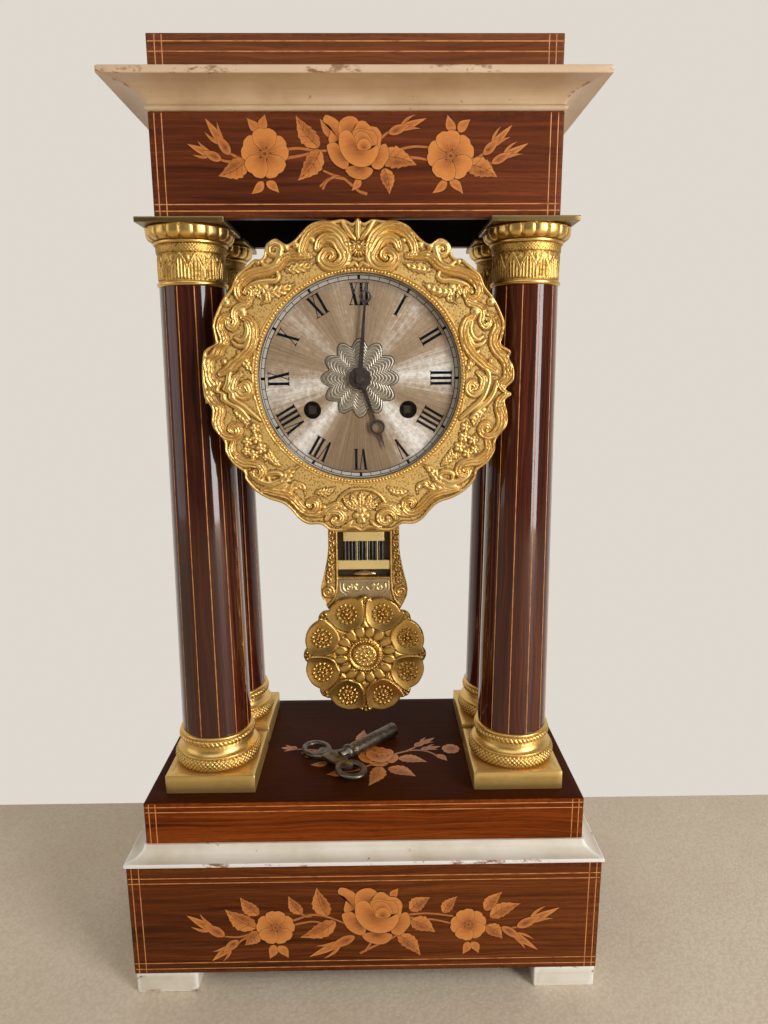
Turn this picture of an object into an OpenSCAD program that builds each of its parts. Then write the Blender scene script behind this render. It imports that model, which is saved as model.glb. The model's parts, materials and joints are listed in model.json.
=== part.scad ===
// Portico clock: four columns on a stepped wooden base carry a veneered entablature.
// A drum with the movement hangs from the soffit behind an ornate gilt bezel, and the
// pendulum swings between the columns. The winding key lies on the platform.
// Frame: origin under the middle of the base, +Z up, the dial faces -Y. Millimetres.

/* [Feet and base] */
// Width and depth of each corner foot
foot_w = 33; // [24:1:42]
// Height of the feet
foot_h = 12.5; // [8:0.5:20]
// Distance of the feet from the edge of the base
foot_inset = 0.5; // [0:0.5:4]
// Width of the base box
base_w = 250; // [236:1:280]
// Depth of the base box
base_d = 134.5; // [126:0.5:160]
// Height of the base box
base_h = 65; // [50:1:90]
// Thickness of the boards of the base box
base_wall = 10; // [8:0.5:14]
// Height of the painted moulding round the platform
base_mould_h = 8; // [6:0.5:12]
// Overhang of the painted moulding past the base box
base_mould_lip = 1; // [0.5:0.5:3]
// Height of the square lower edge of the painted moulding
base_mould_edge = 2; // [1:0.5:3]
// Distance of the platform from the edge of the base box
platform_inset = 8.6; // [6:0.2:10]
// Height of the platform above the base box
platform_h = 31.5; // [24:0.5:40]

/* [Columns] */
// Distance of the column axes from the middle, sideways
column_dx = 82.8; // [81:0.2:84]
// Distance of the column axes from the middle, front to back
column_dy = 26.2; // [25.5:0.1:27]
// Width of the square plinth blocks
plinth_w = 48; // [47.5:0.1:49]
// Height of the plinth blocks
plinth_h = 10.5; // [8:0.5:14]
// Height of the turned column bases
col_base_h = 19; // [17:0.5:24]
// Radius of the lower roll of a column base
col_base_r = 23.4; // [22:0.1:23.6]
// Radius of the hollow between the rolls of a column base
col_neck_r = 19.3; // [19:0.1:20]
// Radius of the upper roll of a column base
col_ring_r = 20.6; // [20:0.1:21.5]
// Radius of a column shaft at its foot
shaft_foot_r = 18.7; // [17:0.1:19]
// Radius of a column shaft at its top
shaft_top_r = 16; // [15:0.1:16.4]
// Height of a column shaft
shaft_h = 233.5; // [225:0.5:260]
// Height of a capital
capital_h = 27.5; // [25:0.5:32]
// Radius of the ring under a capital
capital_ring_r = 17.2; // [16.5:0.1:18]
// Radius of the neck of a capital
capital_neck_r = 16.3; // [15.5:0.1:16.5]
// Radius of the rim of a capital
capital_rim_r = 20.6; // [19.5:0.1:21]
// Width of the square plates over the capitals
abacus_w = 41.5; // [40:0.5:44]
// Thickness of the plates over the capitals
abacus_h = 2.5; // [2:0.5:4]
// Radius of the rods that tie base, columns and entablature together
rod_r = 2.5; // [2:0.1:2.8]
// Room round each rod in the pieces that it passes
rod_room = 0.4; // [0.2:0.1:0.8]
// Width of the nuts across flats
nut_w = 8; // [6.5:0.5:9]
// Height of the nuts
nut_h = 4; // [3:0.5:6]

/* [Entablature] */
// Width of the frieze box
frieze_w = 190; // [188:0.5:198]
// Depth of the frieze box
frieze_d = 86; // [84:0.5:92]
// Height of the frieze box
frieze_h = 45.5; // [38:0.5:60]
// Thickness of the walls of the frieze box
frieze_wall = 6; // [5:0.5:7]
// Thickness of the soffit board
soffit_t = 10; // [8:0.5:14]
// Height of the cornice
cornice_h = 13; // [10:0.5:18]
// Overhang of the cornice past the frieze
cornice_out = 16.5; // [12:0.5:20]
// Height of the square upper edge of the cornice
cornice_edge = 3.4; // [2:0.2:5]
// Radius of the bead under the cornice
cornice_bead_r = 1.3; // [1:0.1:2]
// Distance of the attic from the faces of the frieze
attic_inset = 1; // [0.5:0.5:3]
// Height of the attic above the cornice
attic_h = 19.5; // [14:0.5:30]

/* [Drum and dial] */
// Distance of the dial centre below the soffit
dial_drop = 74; // [72:0.5:80]
// Outer radius of the drum
drum_r = 54; // [53.5:0.1:55]
// Wall of the drum
drum_wall = 1.5; // [1:0.1:1.8]
// Length of the drum
drum_len = 74; // [72:1:80]
// Width of the slot under the drum that the pendulum rod swings in
drum_slot_w = 28; // [22:1:34]
// Width of the hanger block
hanger_w = 32; // [24:1:40]
// Length of the hanger block
hanger_len = 44; // [36:1:52]
// Radius of the hanger bolts
bolt_r = 2; // [1.6:0.1:2.4]
// Radius of the dial
dial_r = 50.5; // [50:0.1:51]
// Thickness of the dial
dial_t = 1.2; // [1:0.1:1.6]
// Radius of the winding holes
winding_hole_r = 4.3; // [4:0.1:5]
// Sideways distance of the winding holes from the dial centre
barrel_dx = 23.4; // [22.8:0.1:24]
// Distance of the winding holes below the dial centre
barrel_dz = 15.1; // [14.8:0.1:15.6]
// Radius of the opening of the bezel
bezel_bore_r = 48.7; // [48:0.1:49]
// Radius of the plain disc under the lobes of the bezel
bezel_r = 69; // [68:0.5:70]
// Thickness of the bezel
bezel_t = 5; // [4.6:0.1:6]
// Gap between the bezel and the column or frieze fronts
bezel_gap = 1.3; // [1:0.1:2.5]
// Rise of the domed glass
glass_rise = 6; // [5.8:0.1:7]
// Thickness of the glass
glass_t = 1.4; // [1:0.1:1.4]
// Length of the minute hand
minute_hand_len = 46.3; // [42:0.1:46.5]
// Length of the hour hand
hour_hand_len = 36; // [30:0.5:38]
// Thickness of the hands
hand_t = 0.6; // [0.4:0.1:0.6]

/* [Movement] */
// Radius of the movement plates
plate_r = 49.5; // [49:0.1:50]
// Thickness of the movement plates
plate_t = 2; // [1.6:0.1:2.4]
// Distance between the movement plates
plate_gap = 32; // [32:0.5:34]
// Radius of a wheel arbor
arbor_r = 0.9; // [0.8:0.05:0.95]
// Radius of an arbor's pivots
pivot_r = 0.6; // [0.5:0.05:0.7]
// Radius of a winding arbor
winding_arbor_r = 3; // [2.6:0.1:3.2]
// Width of the winding squares
winding_square = 4; // [3.4:0.1:4.2]
// Radius of the spring barrels
barrel_r = 17.2; // [15:0.1:17.5]
// Radius of the bell
bell_r = 29; // [26:0.5:29.5]

/* [Pendulum] */
// Gap between the bob and the platform
bob_clear = 17.4; // [14:0.2:22]
// Radius of the bob over its petals
bob_r = 37.5; // [34:0.5:39]
// Thickness of the bob's plate
bob_t = 3; // [2:0.5:4]
// Distance of the pendulum behind the back plate
pendulum_back = 12; // [11.5:0.1:12.5]
// Half the width of the ornamental frame
frame_half_w = 20.8; // [19:0.1:23]
// Gap between the ornamental frame and the drum
frame_gap = 16; // [10:0.5:20]
// Width of the window in the ornamental frame
window_w = 30.8; // [26:0.2:32]
// Height of the window in the ornamental frame
window_h = 27.4; // [24:0.2:30]

/* [Winding key] */
// Radius of the key's barrel
key_r = 4.25; // [3.6:0.05:5]
// Length of the key from the bow to the tip
key_len = 44; // [36:1:50]
// Radius of each loop of the bow
key_loop_r = 9.2; // [8.2:0.1:10.5]
// Distance of each loop's centre from the key's axis
key_loop_out = 15.2; // [12:0.1:18]
// Radius of the hole in each loop
key_hole_r = 5.4; // [4:0.1:6.5]

/* [Fits] */
// Running clearance of pivots, pins and sliding pieces, on the radius
fit = 0.05; // [0.03:0.01:0.08]
// Gap between glued or screwed neighbours that stay separate pieces
joint_gap = 0.1; // [0.05:0.05:0.2]
// Hairline left at the glued mitres of the base boards
glue_gap = 0.03; // [0.02:0.01:0.05]
// Thickness taken off each gear tooth for backlash
gear_backlash = 0.14; // [0.1:0.01:0.16]

/* [Hidden] */
$fn = 96;
tiny = 0.01;

// Heights of the case
z_base0 = foot_h;
z_base1 = z_base0 + base_h;
z_platform = z_base1 + platform_h;
z_plinth = z_platform + plinth_h;
z_shaft0 = z_plinth + col_base_h;
z_shaft1 = z_shaft0 + shaft_h;
z_abacus = z_shaft1 + capital_h;
z_frieze0 = z_abacus + abacus_h;
z_frieze1 = z_frieze0 + frieze_h;
z_cornice1 = z_frieze1 + cornice_h;
z_dial = z_frieze0 - dial_drop;
platform_w = base_w - 2 * platform_inset;
platform_d = base_d - 2 * platform_inset;
attic_w = frieze_w - 2 * attic_inset;
attic_d = frieze_d - 2 * attic_inset;

// Depths of the drum, the dial and the movement
dial_gap = 0.7;
ring_t = 3.3;
spigot_len = 5;
drum_slot_d = 12;
rear_ring_in = 8;
rear_ring_w = 11;
spigot_wall = 2.4;
y_bezel = -max(frieze_d / 2, column_dy + shaft_foot_r) - bezel_gap;
y_dial0 = y_bezel + dial_gap;
y_dial1 = y_dial0 + dial_t;
y_drum0 = y_dial1 + ring_t;
y_drum1 = y_drum0 + drum_len;
y_drum_mid = (y_drum0 + y_drum1) / 2;
y_front0 = y_drum0 + spigot_len;
y_front1 = y_front0 + plate_t;
y_back0 = y_front1 + plate_gap;
y_back1 = y_back0 + plate_t;
y_pendulum = y_back1 + pendulum_back;
drum_in_r = drum_r - drum_wall;
spigot_r = drum_in_r - joint_gap;

// Hands, one over the other in front of the dial
hand_step = 1;
y_hour = y_dial0 - hand_step - hand_t / 3;
y_minute = y_hour - hand_step;
hour_pipe_r = 2.4;
cannon_r = 1.5;
minute_hand_turn = 4.5;
hour_hand_turn = 160.5;

// Bezel hinge
hinge_r = 1.8;
hinge_pin_r = 0.8;
hinge_half = 4.8;
hinge_reach = 11.5;
hinge_x = -(bezel_r + 4);
hinge_y = y_bezel - 1.3;
hinge_play = 0.4;
hinge_clear = 10;
rear_hinge_x = drum_r + 5;
rear_flange_r = drum_r + 3;
rear_door_t = 2;
rear_door_gap = 0.2;
rear_hinge_y = y_drum1 + ring_t + 1.2;

// Lobes of the bezel's right half: angle from the top, distance of the centre, radius
BEZEL_LOBES = [
    [11.5, -8.5, 13], [32, -3, 7], [48, -6.3, 10], [61, 1.4, 3], [69, -2.3, 6], [86, -5.5, 10],
    [97, 1.3, 3], [109, -2.8, 8], [125, -3.5, 10], [136, 0, 8], [156, -2.1, 8], [173, -4, 10]
];

// Tooth counts and modules of the wheel work
barrel_teeth = 76;
second_leaves = 12;
second_teeth = 72;
centre_leaves = 10;
centre_teeth = 80;
third_leaves = 8;
third_teeth = 78;
escape_leaves = 8;
escape_teeth = 40;
cannon_leaves = 12;
minute_teeth = 36;
minute_leaves = 10;
hour_teeth = 40;
pin_leaves = 8;
pin_teeth = 60;
fly_leaves = 8;
barrel_mod = 0.5;
second_mod = 0.4;
centre_mod = 0.34;
third_mod = 0.3;
motion_mod = 0.5;
strike_mod = 0.4;
pressure = 20;
tip_share = 0.7;
root_share = 1.05;
wheel_t = 1.2;
pinion_t = 2.6;

// Where the arbors stand, sideways and upwards from the dial centre
function middle(teeth_a, teeth_b, mod) = mod * (teeth_a + teeth_b) / 2;
function heading(p, q) = atan2(q.y - p.y, q.x - p.x);
function from(p, angle, far) = p + far * [cos(angle), sin(angle)];
function meet(p, rp, q, rq, side) =
    let (d = norm(q - p))
    let (along = (rp * rp - rq * rq + d * d) / (2 * d))
    let (up = side * sqrt(rp * rp - along * along))
    let (e = (q - p) / d)
    p + along * e + up * [-e.y, e.x];

CENTRE = [0, 0];
GOING = [barrel_dx, -barrel_dz];
STRIKE = [-barrel_dx, -barrel_dz];
second_far = middle(second_teeth, centre_leaves, second_mod);
barrel_far = middle(barrel_teeth, second_leaves, barrel_mod);
SECOND = meet(CENTRE, second_far, GOING, barrel_far, 1);
STRIKE_SECOND = [-SECOND.x, SECOND.y];
escape_z = 27.8;
escape_r = 9.5;
ESCAPE = [0, escape_z];
third_far = middle(centre_teeth, third_leaves, centre_mod);
escape_far = middle(third_teeth, escape_leaves, third_mod);
THIRD = meet(CENTRE, third_far, ESCAPE, escape_far, 1);
ANCHOR = [0, escape_z + escape_r * sqrt(2)];
MINUTE = [0, -middle(cannon_leaves, minute_teeth, motion_mod)];
hour_mod = -2 * MINUTE.y / (minute_leaves + hour_teeth);
PIN = from(STRIKE_SECOND, 120, middle(second_teeth, pin_leaves, strike_mod));
FLY = from(PIN, 60, middle(pin_teeth, fly_leaves, strike_mod));
HAMMER = [-40, 4];
PILLARS = [[-40, 20], [40, 20], [-14, -43], [14, -43]];
BELL = [0, -10];
BELL_POST = [20, -38];
TRAIN_PIVOTS = [SECOND, THIRD, ESCAPE, PIN, FLY];

// Depths of the wheels between and in front of the plates
y_centre_wheel = y_front1 + 1;
y_barrel0 = y_front1 + 4;
barrel_len = 16;
y_barrel_gear = y_barrel0 + barrel_len;
barrel_gear_t = 2;
second_wheel_in = 8.5;
y_second_wheel = y_back0 - second_wheel_in;
y_strike_second = y_back0 - 5;
third_wheel_in = 12;
y_third_wheel = y_front1 + third_wheel_in;
escape_wheel_in = 6;
y_escape = y_back0 - escape_wheel_in;
pin_wheel_in = 4;
y_pin_wheel = y_front1 + pin_wheel_in;
fly_in = 10;
y_fly = y_front1 + fly_in;
y_minute_wheel = y_front0 - 2.6;
y_hour_wheel = y_front0 - 5;
ratchet_r = 6;
arbor_shake = 0.3;
pin_circle_r = 9.5;
pin_len = 3;

// Pendulum
z_bob = z_platform + bob_clear + bob_r;
z_pivot = z_dial + ANCHOR.y;
z_frame0 = z_bob + bob_r * 0.75;
z_frame1 = z_dial - drum_r - frame_gap;
z_window = z_bob + bob_r * 1.28;
rod_w = 3;
rod_t = 2;
rod_lap = 4;
eye_r = 3;
pivot_pin_r = 1;
frame_t = 2.6;
y_frame0 = y_pendulum - rod_t / 2 - frame_t;
y_bob1 = y_frame0 - joint_gap;
nut_r = 3.4;
rating_nut_h = 3;
screw_r = 1.5;
lug_drop = 12;
lug_h = 6;

// Key
key_spot = [-14.6, -21.3];
key_turn = 43.6;
key_bow_t = 3;
key_bow_back = 5;
key_rise = 0.05;
key_axis = [key_spot.x, key_spot.y, z_platform + key_r + key_rise];

// Shared shapes

// A board that is centred sideways and front to back, from height z0 to z1
module board(w, d, z0, z1) {
    translate([-w / 2, -d / 2, z0]) cube([w, d, z1 - z0]);
}

// An upright drawing, x sideways and y upwards, made solid from depth y0 to y1
module slab(y0, y1) {
    translate([0, y1, 0]) rotate([90, 0, 0]) linear_extrude(height = y1 - y0) children();
}

// A rod along Y at a place p in the dial's plane
module rod_y(p, r, y0, y1) {
    translate([p.x, y0, p.y]) rotate([-90, 0, 0]) cylinder(r = r, h = y1 - y0);
}

// A profile of radius and depth turned about the Y axis
module turned_y() {
    rotate([-90, 0, 0]) rotate_extrude() children();
}

module at(p) {
    translate([p.x, p.y]) children();
}

module at_columns() {
    for (sx = [-1, 1], sy = [-1, 1]) {
        translate([sx * column_dx, sy * column_dy, 0]) children();
    }
}

module on_dial() {
    translate([0, 0, z_dial]) children();
}

module rod_hole(z0, z1) {
    translate([0, 0, z0 - 1]) cylinder(r = rod_r + rod_room, h = z1 - z0 + 2);
}

// Four mitred lengths of moulding round a block of w by d, with the profile reaching out
module mitred_frame(w, d, out, z0, h, gap = joint_gap) {
    for (side = [0:3]) {
        across = side % 2 == 0 ? w : d;
        back = side % 2 == 0 ? d : w;
        long = across + 2 * out + 2;
        rotate(side * 90) intersection() {
            translate([-long / 2, -back / 2, z0]) rotate([90, 0, 90])
                linear_extrude(height = long) mirror([1, 0]) children();
            translate([0, -back / 2, z0 - 1]) linear_extrude(height = h + 2) polygon([
                [-across / 2 + gap, 0],
                [-across / 2 - out - 1 + gap, -out - 1],
                [across / 2 + out + 1 - gap, -out - 1],
                [across / 2 - gap, 0]
            ]);
        }
    }
}

// Points of a hollow curve from a to b, upright at a and level at b
function cove(a, b, steps = 10) = [
    for (i = [0:steps]) [
        b.x - (b.x - a.x) * cos(90 * i / steps),
        a.y + (b.y - a.y) * sin(90 * i / steps)
    ]
];

// A gear outline with involute flanks and one tooth on the heading 0
module gear(teeth, mod) {
    pitch_r = mod * teeth / 2;
    base_r = pitch_r * cos(pressure);
    tip_r = pitch_r + tip_share * mod;
    root_r = pitch_r - root_share * mod;
    half = 90 / teeth - gear_backlash / (2 * pitch_r) * 180 / PI;
    function roll(a) = tan(a) * 180 / PI - a;
    function half_at(r) = half + roll(pressure) - roll(acos(min(1, base_r / max(r, base_r))));
    flank = [[root_r, -1], [pitch_r, -1], [tip_r, -1], [tip_r, 1], [pitch_r, 1], [root_r, 1]];
    polygon([
        for (i = [0:teeth - 1], q = flank)
            let (a = i * 360 / teeth + q[1] * half_at(q[0])) q[0] * [cos(a), sin(a)]
    ]);
}

// A wheel with crossed-out spokes and a tooth on the given heading
module wheel(teeth, mod, turn, spokes = 4) {
    rim_w = 1.7;
    hub_r = 2.6;
    spoke_w = 1.4;
    pitch_r = mod * teeth / 2;
    difference() {
        rotate(turn) gear(teeth, mod);
        difference() {
            circle(r = pitch_r - rim_w);
            circle(r = hub_r);
            for (k = [0:spokes - 1]) {
                rotate(45 + k * 360 / spokes) translate([0, -spoke_w / 2]) square([pitch_r, spoke_w]);
            }
        }
    }
}

// A pinion with a gap on the given heading
module pinion(teeth, mod, turn) {
    rotate(turn + 180 / teeth) gear(teeth, mod);
}

// An arbor between the plates with its two pivots
module arbor(p) {
    rod_y(p, arbor_r, y_front1 + arbor_shake, y_back0 - arbor_shake);
    rod_y(p, pivot_r, y_front1 - plate_t + arbor_shake, y_back0 + plate_t - arbor_shake);
}

// Feet and base

module feet() {
    color("ivory") for (sx = [-1, 1], sy = [-1, 1]) {
        translate([
            sx * (base_w / 2 - foot_inset - foot_w / 2) - foot_w / 2,
            sy * (base_d / 2 - foot_inset - foot_w / 2) - foot_w / 2,
            0
        ]) cube([foot_w, foot_w, foot_h]);
    }
}

// Four mitred boards round a top board, glued up into a box that is open below
module base_box() {
    inner_w = base_w - 2 * base_wall;
    inner_d = base_d - 2 * base_wall;
    color("saddlebrown") {
        mitred_frame(inner_w, inner_d, base_wall, z_base0, base_h, glue_gap) square([base_wall, base_h]);
        difference() {
            board(inner_w - 2 * glue_gap, inner_d - 2 * glue_gap, z_base1 - base_wall, z_base1);
            at_columns() rod_hole(z_base1 - base_wall, z_base1);
        }
    }
}

module base_moulding() {
    out = platform_inset + base_mould_lip;
    color("ivory") mitred_frame(platform_w, platform_d, out, z_base1, base_mould_h)
        polygon(concat(
            [[0, 0], [0, base_mould_h]],
            cove([1, base_mould_h], [out - 1, base_mould_edge]),
            [[out, base_mould_edge], [out, 0]]
        ));
}

module platform() {
    color("sienna") difference() {
        board(platform_w, platform_d, z_base1, z_platform);
        at_columns() rod_hole(z_base1, z_platform);
    }
}

// Columns

module column_plinths() {
    color("goldenrod") at_columns() difference() {
        board(plinth_w, plinth_w, z_platform, z_plinth);
        rod_hole(z_platform, z_plinth);
    }
}

module column_bases() {
    lower_r = 4;
    upper_r = 2.2;
    hollow_r = 3.9;
    color("gold") at_columns() translate([0, 0, z_plinth]) rotate_extrude() difference() {
        union() {
            square([col_neck_r, col_base_h]);
            translate([col_base_r - lower_r, lower_r]) circle(r = lower_r);
            square([col_base_r - lower_r, 2 * lower_r]);
            difference() {
                square([col_base_r - 1.6, col_base_h - 7]);
                translate([col_neck_r + hollow_r - 0.1, col_base_h - 7]) circle(r = hollow_r);
            }
            translate([col_ring_r - upper_r, col_base_h - 3.4]) circle(r = upper_r);
            translate([0, col_base_h - 1.2]) square([col_ring_r - 0.5, 1.2]);
        }
        translate([-1, -1]) square([rod_r + rod_room + 1, col_base_h + 2]);
    }
}

module column_shaft(sx, sy) {
    color("maroon") translate([sx * column_dx, sy * column_dy, 0]) difference() {
        translate([0, 0, z_shaft0]) cylinder(r1 = shaft_foot_r, r2 = shaft_top_r, h = shaft_h);
        rod_hole(z_shaft0, z_shaft1);
    }
}

module front_left_column_shaft() { column_shaft(-1, -1); }
module front_right_column_shaft() { column_shaft(1, -1); }
module rear_left_column_shaft() { column_shaft(-1, 1); }
module rear_right_column_shaft() { column_shaft(1, 1); }

module column_capitals() {
    ring_r = 1.2;
    echinus_r = capital_h * 0.145;
    echinus_z = capital_h * 0.9;
    band_z = capital_h * 0.565;
    fillet_z = capital_h * 0.705;
    color("gold") at_columns() translate([0, 0, z_shaft1]) rotate_extrude() difference() {
        union() {
            square([capital_neck_r, capital_h]);
            square([capital_ring_r - ring_r, 2 * ring_r]);
            translate([capital_ring_r - ring_r, ring_r]) circle(r = ring_r);
            translate([0, band_z]) square([capital_neck_r + 0.6, 3.7]);
            translate([0, fillet_z]) square([capital_neck_r + 1.5, 1.4]);
            translate([0, echinus_z - echinus_r]) square([capital_rim_r - echinus_r, capital_h - echinus_z]);
            intersection() {
                translate([capital_rim_r - echinus_r, echinus_z]) circle(r = echinus_r);
                square([capital_rim_r, capital_h]);
            }
            translate([0, echinus_z]) square([capital_rim_r, capital_h - echinus_z]);
        }
        translate([-1, -1]) square([rod_r + rod_room + 1, capital_h + 2]);
    }
}

module capital_abaci() {
    color("goldenrod") at_columns() difference() {
        board(abacus_w, abacus_w, z_abacus, z_frieze0);
        rod_hole(z_abacus, z_frieze0);
    }
}

module nut(r, z) {
    translate([0, 0, z]) difference() {
        cylinder(r = nut_w / sqrt(3), h = nut_h, $fn = 6);
        translate([0, 0, -1]) cylinder(r = r + joint_gap, h = nut_h + 2);
    }
}

module column_tie_bolts() {
    low = z_base1 - base_wall - nut_h;
    high = z_frieze0 + soffit_t;
    past = 1.5;
    color("dimgray") at_columns() {
        translate([0, 0, low - past]) cylinder(r = rod_r, h = high + nut_h + 2 * past - low);
        nut(rod_r, low);
        nut(rod_r, high);
    }
}

// Entablature

module soffit_board() {
    w = frieze_w - 2 * frieze_wall - 2 * joint_gap;
    d = frieze_d - 2 * frieze_wall - 2 * joint_gap;
    color("darkslategray") difference() {
        board(w, d, z_frieze0, z_frieze0 + soffit_t);
        at_columns() rod_hole(z_frieze0, z_frieze0 + soffit_t);
        at_hanger_bolts() translate([0, 0, z_frieze0 - 1])
            cylinder(r = bolt_r + joint_gap, h = soffit_t + 2);
    }
}

module frieze_box() {
    color("saddlebrown") difference() {
        board(frieze_w, frieze_d, z_frieze0, z_frieze1);
        board(frieze_w - 2 * frieze_wall, frieze_d - 2 * frieze_wall, z_frieze0 - 1, z_frieze1 + 1);
    }
}

module cornice_moulding() {
    out = attic_inset + cornice_out;
    foot = attic_inset + cornice_bead_r;
    bead_h = 2 * cornice_bead_r;
    color("ivory") mitred_frame(attic_w, attic_d, out, z_frieze1, cornice_h) union() {
        translate([foot, cornice_bead_r]) circle(r = cornice_bead_r);
        polygon(concat(
            [[0, 0], [foot, 0], [foot, bead_h]],
            cove([foot + 0.4, bead_h], [out - 1.2, cornice_h - cornice_edge]),
            [[out, cornice_h - cornice_edge], [out, cornice_h], [0, cornice_h]]
        ));
    }
}

module attic_block() {
    color("sienna") board(attic_w, attic_d, z_frieze1, z_cornice1 + attic_h);
}

// Drum that holds the movement

module at_hanger_bolts() {
    for (s = [-1, 1]) {
        translate([0, y_drum_mid + s * hanger_len * 0.3, 0]) children();
    }
}

module drum_hanger() {
    saddle = 7;
    color("darkslategray") difference() {
        translate([-hanger_w / 2, y_drum_mid - hanger_len / 2, z_dial + drum_r - saddle])
            cube([hanger_w, hanger_len, dial_drop - drum_r + saddle]);
        on_dial() rod_y(CENTRE, drum_r + joint_gap, y_drum0, y_drum1);
        at_hanger_bolts() translate([0, 0, z_dial + drum_r - 1])
            cylinder(r = bolt_r + joint_gap, h = dial_drop);
    }
}

module hanger_bolts() {
    head_r = 4;
    head_h = 2.4;
    seat = z_dial + drum_in_r - 0.3;
    high = z_frieze0 + soffit_t;
    color("dimgray") at_hanger_bolts() {
        translate([0, 0, seat - head_h]) cylinder(r = head_r, h = head_h);
        translate([0, 0, seat - tiny]) cylinder(r = bolt_r, h = high + nut_h + 1 - seat);
        nut(bolt_r, high);
    }
}

module movement_drum() {
    color("peru") difference() {
        on_dial() difference() {
            rod_y(CENTRE, drum_r, y_drum0, y_drum1);
            rod_y(CENTRE, drum_in_r, y_drum0 - 1, y_drum1 + 1);
            translate([-drum_slot_w / 2, y_pendulum - drum_slot_d / 2, -drum_r - 1])
                cube([drum_slot_w, drum_slot_d, drum_r / 2]);
        }
        at_hanger_bolts() translate([0, 0, z_dial])
            cylinder(r = bolt_r + joint_gap, h = drum_r + 1);
    }
}

// A hinge lug on a fixed ring, with its knuckle round the pin
module hinge_lug(x, y, root_x, ring_y0, ring_y1) {
    low = min(ring_y0, y);
    side = min(x, root_x) - (x < 0 ? hinge_r : 0);
    difference() {
        union() {
            translate([x, y, -hinge_half]) cylinder(r = hinge_r, h = 2 * hinge_half);
            translate([side, ring_y0, -hinge_half])
                cube([abs(root_x - x) + hinge_r, ring_y1 - ring_y0, 2 * hinge_half]);
            translate([x - hinge_r, low, -hinge_half])
                cube([2 * hinge_r, max(ring_y1, y) - low, 2 * hinge_half]);
        }
        translate([x, y, -hinge_half - 1]) cylinder(r = hinge_pin_r + fit, h = 2 * hinge_half + 2);
    }
}

module dial_ring() {
    flange_r = drum_r + 2.5;
    seat_r = dial_r - 5.5;
    color("darkgoldenrod") on_dial() union() {
        turned_y() difference() {
            union() {
                translate([seat_r, y_dial1]) square([flange_r - seat_r, ring_t]);
                translate([seat_r, y_drum0 - tiny]) square([spigot_r - seat_r, spigot_len + tiny]);
            }
            translate([0, y_drum0]) square([plate_r - spigot_wall, spigot_len + 1]);
        }
        hinge_lug(hinge_x, hinge_y, -drum_r, y_dial1, y_dial1 + 2.2);
    }
}

module rear_ring() {
    color("darkgoldenrod") on_dial() union() {
        turned_y() union() {
            translate([drum_r - rear_ring_in, y_drum1]) square([rear_ring_w, ring_t]);
            translate([spigot_r - spigot_wall, y_drum1 - spigot_len]) square([spigot_wall, spigot_len + tiny]);
        }
        hinge_lug(rear_hinge_x, rear_hinge_y, drum_r, y_drum1, y_drum1 + ring_t);
    }
}

module rear_door() {
    y0 = y_drum1 + ring_t + rear_door_gap;
    y1 = y0 + rear_door_t;
    knuckle = hinge_reach - hinge_half - hinge_play;
    knob = [-drum_r * 0.8, 0];
    color("goldenrod") on_dial() difference() {
        union() {
            rod_y(CENTRE, drum_r - 1, y0, y1);
            rod_y(knob, 2, y1 - tiny, y1 + 3);
            rod_y(knob, 3.2, y1 + 2, y1 + 4.5);
            for (s = [-1, 1]) {
                low = s < 0 ? -hinge_reach : hinge_half + hinge_play;
                translate([drum_r - 8, y0, low]) cube([rear_hinge_x - drum_r + 8, rear_door_t, knuckle]);
                translate([rear_hinge_x, rear_hinge_y, low]) cylinder(r = hinge_r, h = knuckle);
            }
        }
        translate([rear_hinge_x, rear_hinge_y, -hinge_reach - 1])
            cylinder(r = hinge_pin_r + fit, h = 2 * hinge_reach + 2);
    }
}

module hinge_pin(x, y) {
    color("dimgray") on_dial() translate([x, y, -hinge_reach]) cylinder(r = hinge_pin_r, h = 2 * hinge_reach);
}

module rear_hinge_pin() { hinge_pin(rear_hinge_x, rear_hinge_y); }
module bezel_hinge_pin() { hinge_pin(hinge_x, hinge_y); }

// Bezel, glass, dial and hands

glass_lip = 1.6;
glass_seat_r = bezel_bore_r + 2.5;
glass_edge_t = 1.2;

module bezel_outline() {
    circle(r = bezel_r);
    for (lobe = BEZEL_LOBES, s = [-1, 1]) {
        at(from([0, 0], 90 - s * lobe[0], bezel_r + lobe[1])) circle(r = lobe[2]);
    }
}

module bezel() {
    bead_r = 0.9;
    ground_in = bezel_bore_r + 2.6;
    ground_out = bezel_r - 9;
    ground_depth = 1;
    knuckle = hinge_reach - hinge_half - hinge_play;
    color("gold") on_dial() difference() {
        union() {
            slab(y_bezel - bezel_t, y_bezel) bezel_outline();
            turned_y() translate([bezel_bore_r + bead_r, y_bezel - bezel_t]) circle(r = bead_r);
            for (low = [-hinge_reach, hinge_half + hinge_play]) {
                translate([hinge_x, hinge_y, low]) cylinder(r = hinge_r, h = knuckle);
            }
        }
        rod_y(CENTRE, bezel_bore_r, y_bezel - bezel_t - 2, y_bezel + 1);
        rod_y(CENTRE, glass_seat_r, y_bezel - bezel_t + glass_lip, y_bezel + 1);
        slab(y_bezel - bezel_t - 1, y_bezel - bezel_t + ground_depth) difference() {
            circle(r = ground_out);
            circle(r = ground_in);
        }
        translate([hinge_x - hinge_clear, y_bezel - bezel_t - 1, -hinge_half - hinge_play])
            cube([hinge_clear + hinge_r + hinge_play, bezel_t + 3, 2 * (hinge_half + hinge_play)]);
        translate([hinge_x, hinge_y, -hinge_reach - 1])
            cylinder(r = hinge_pin_r + fit, h = 2 * hinge_reach + 2);
    }
}

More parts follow.
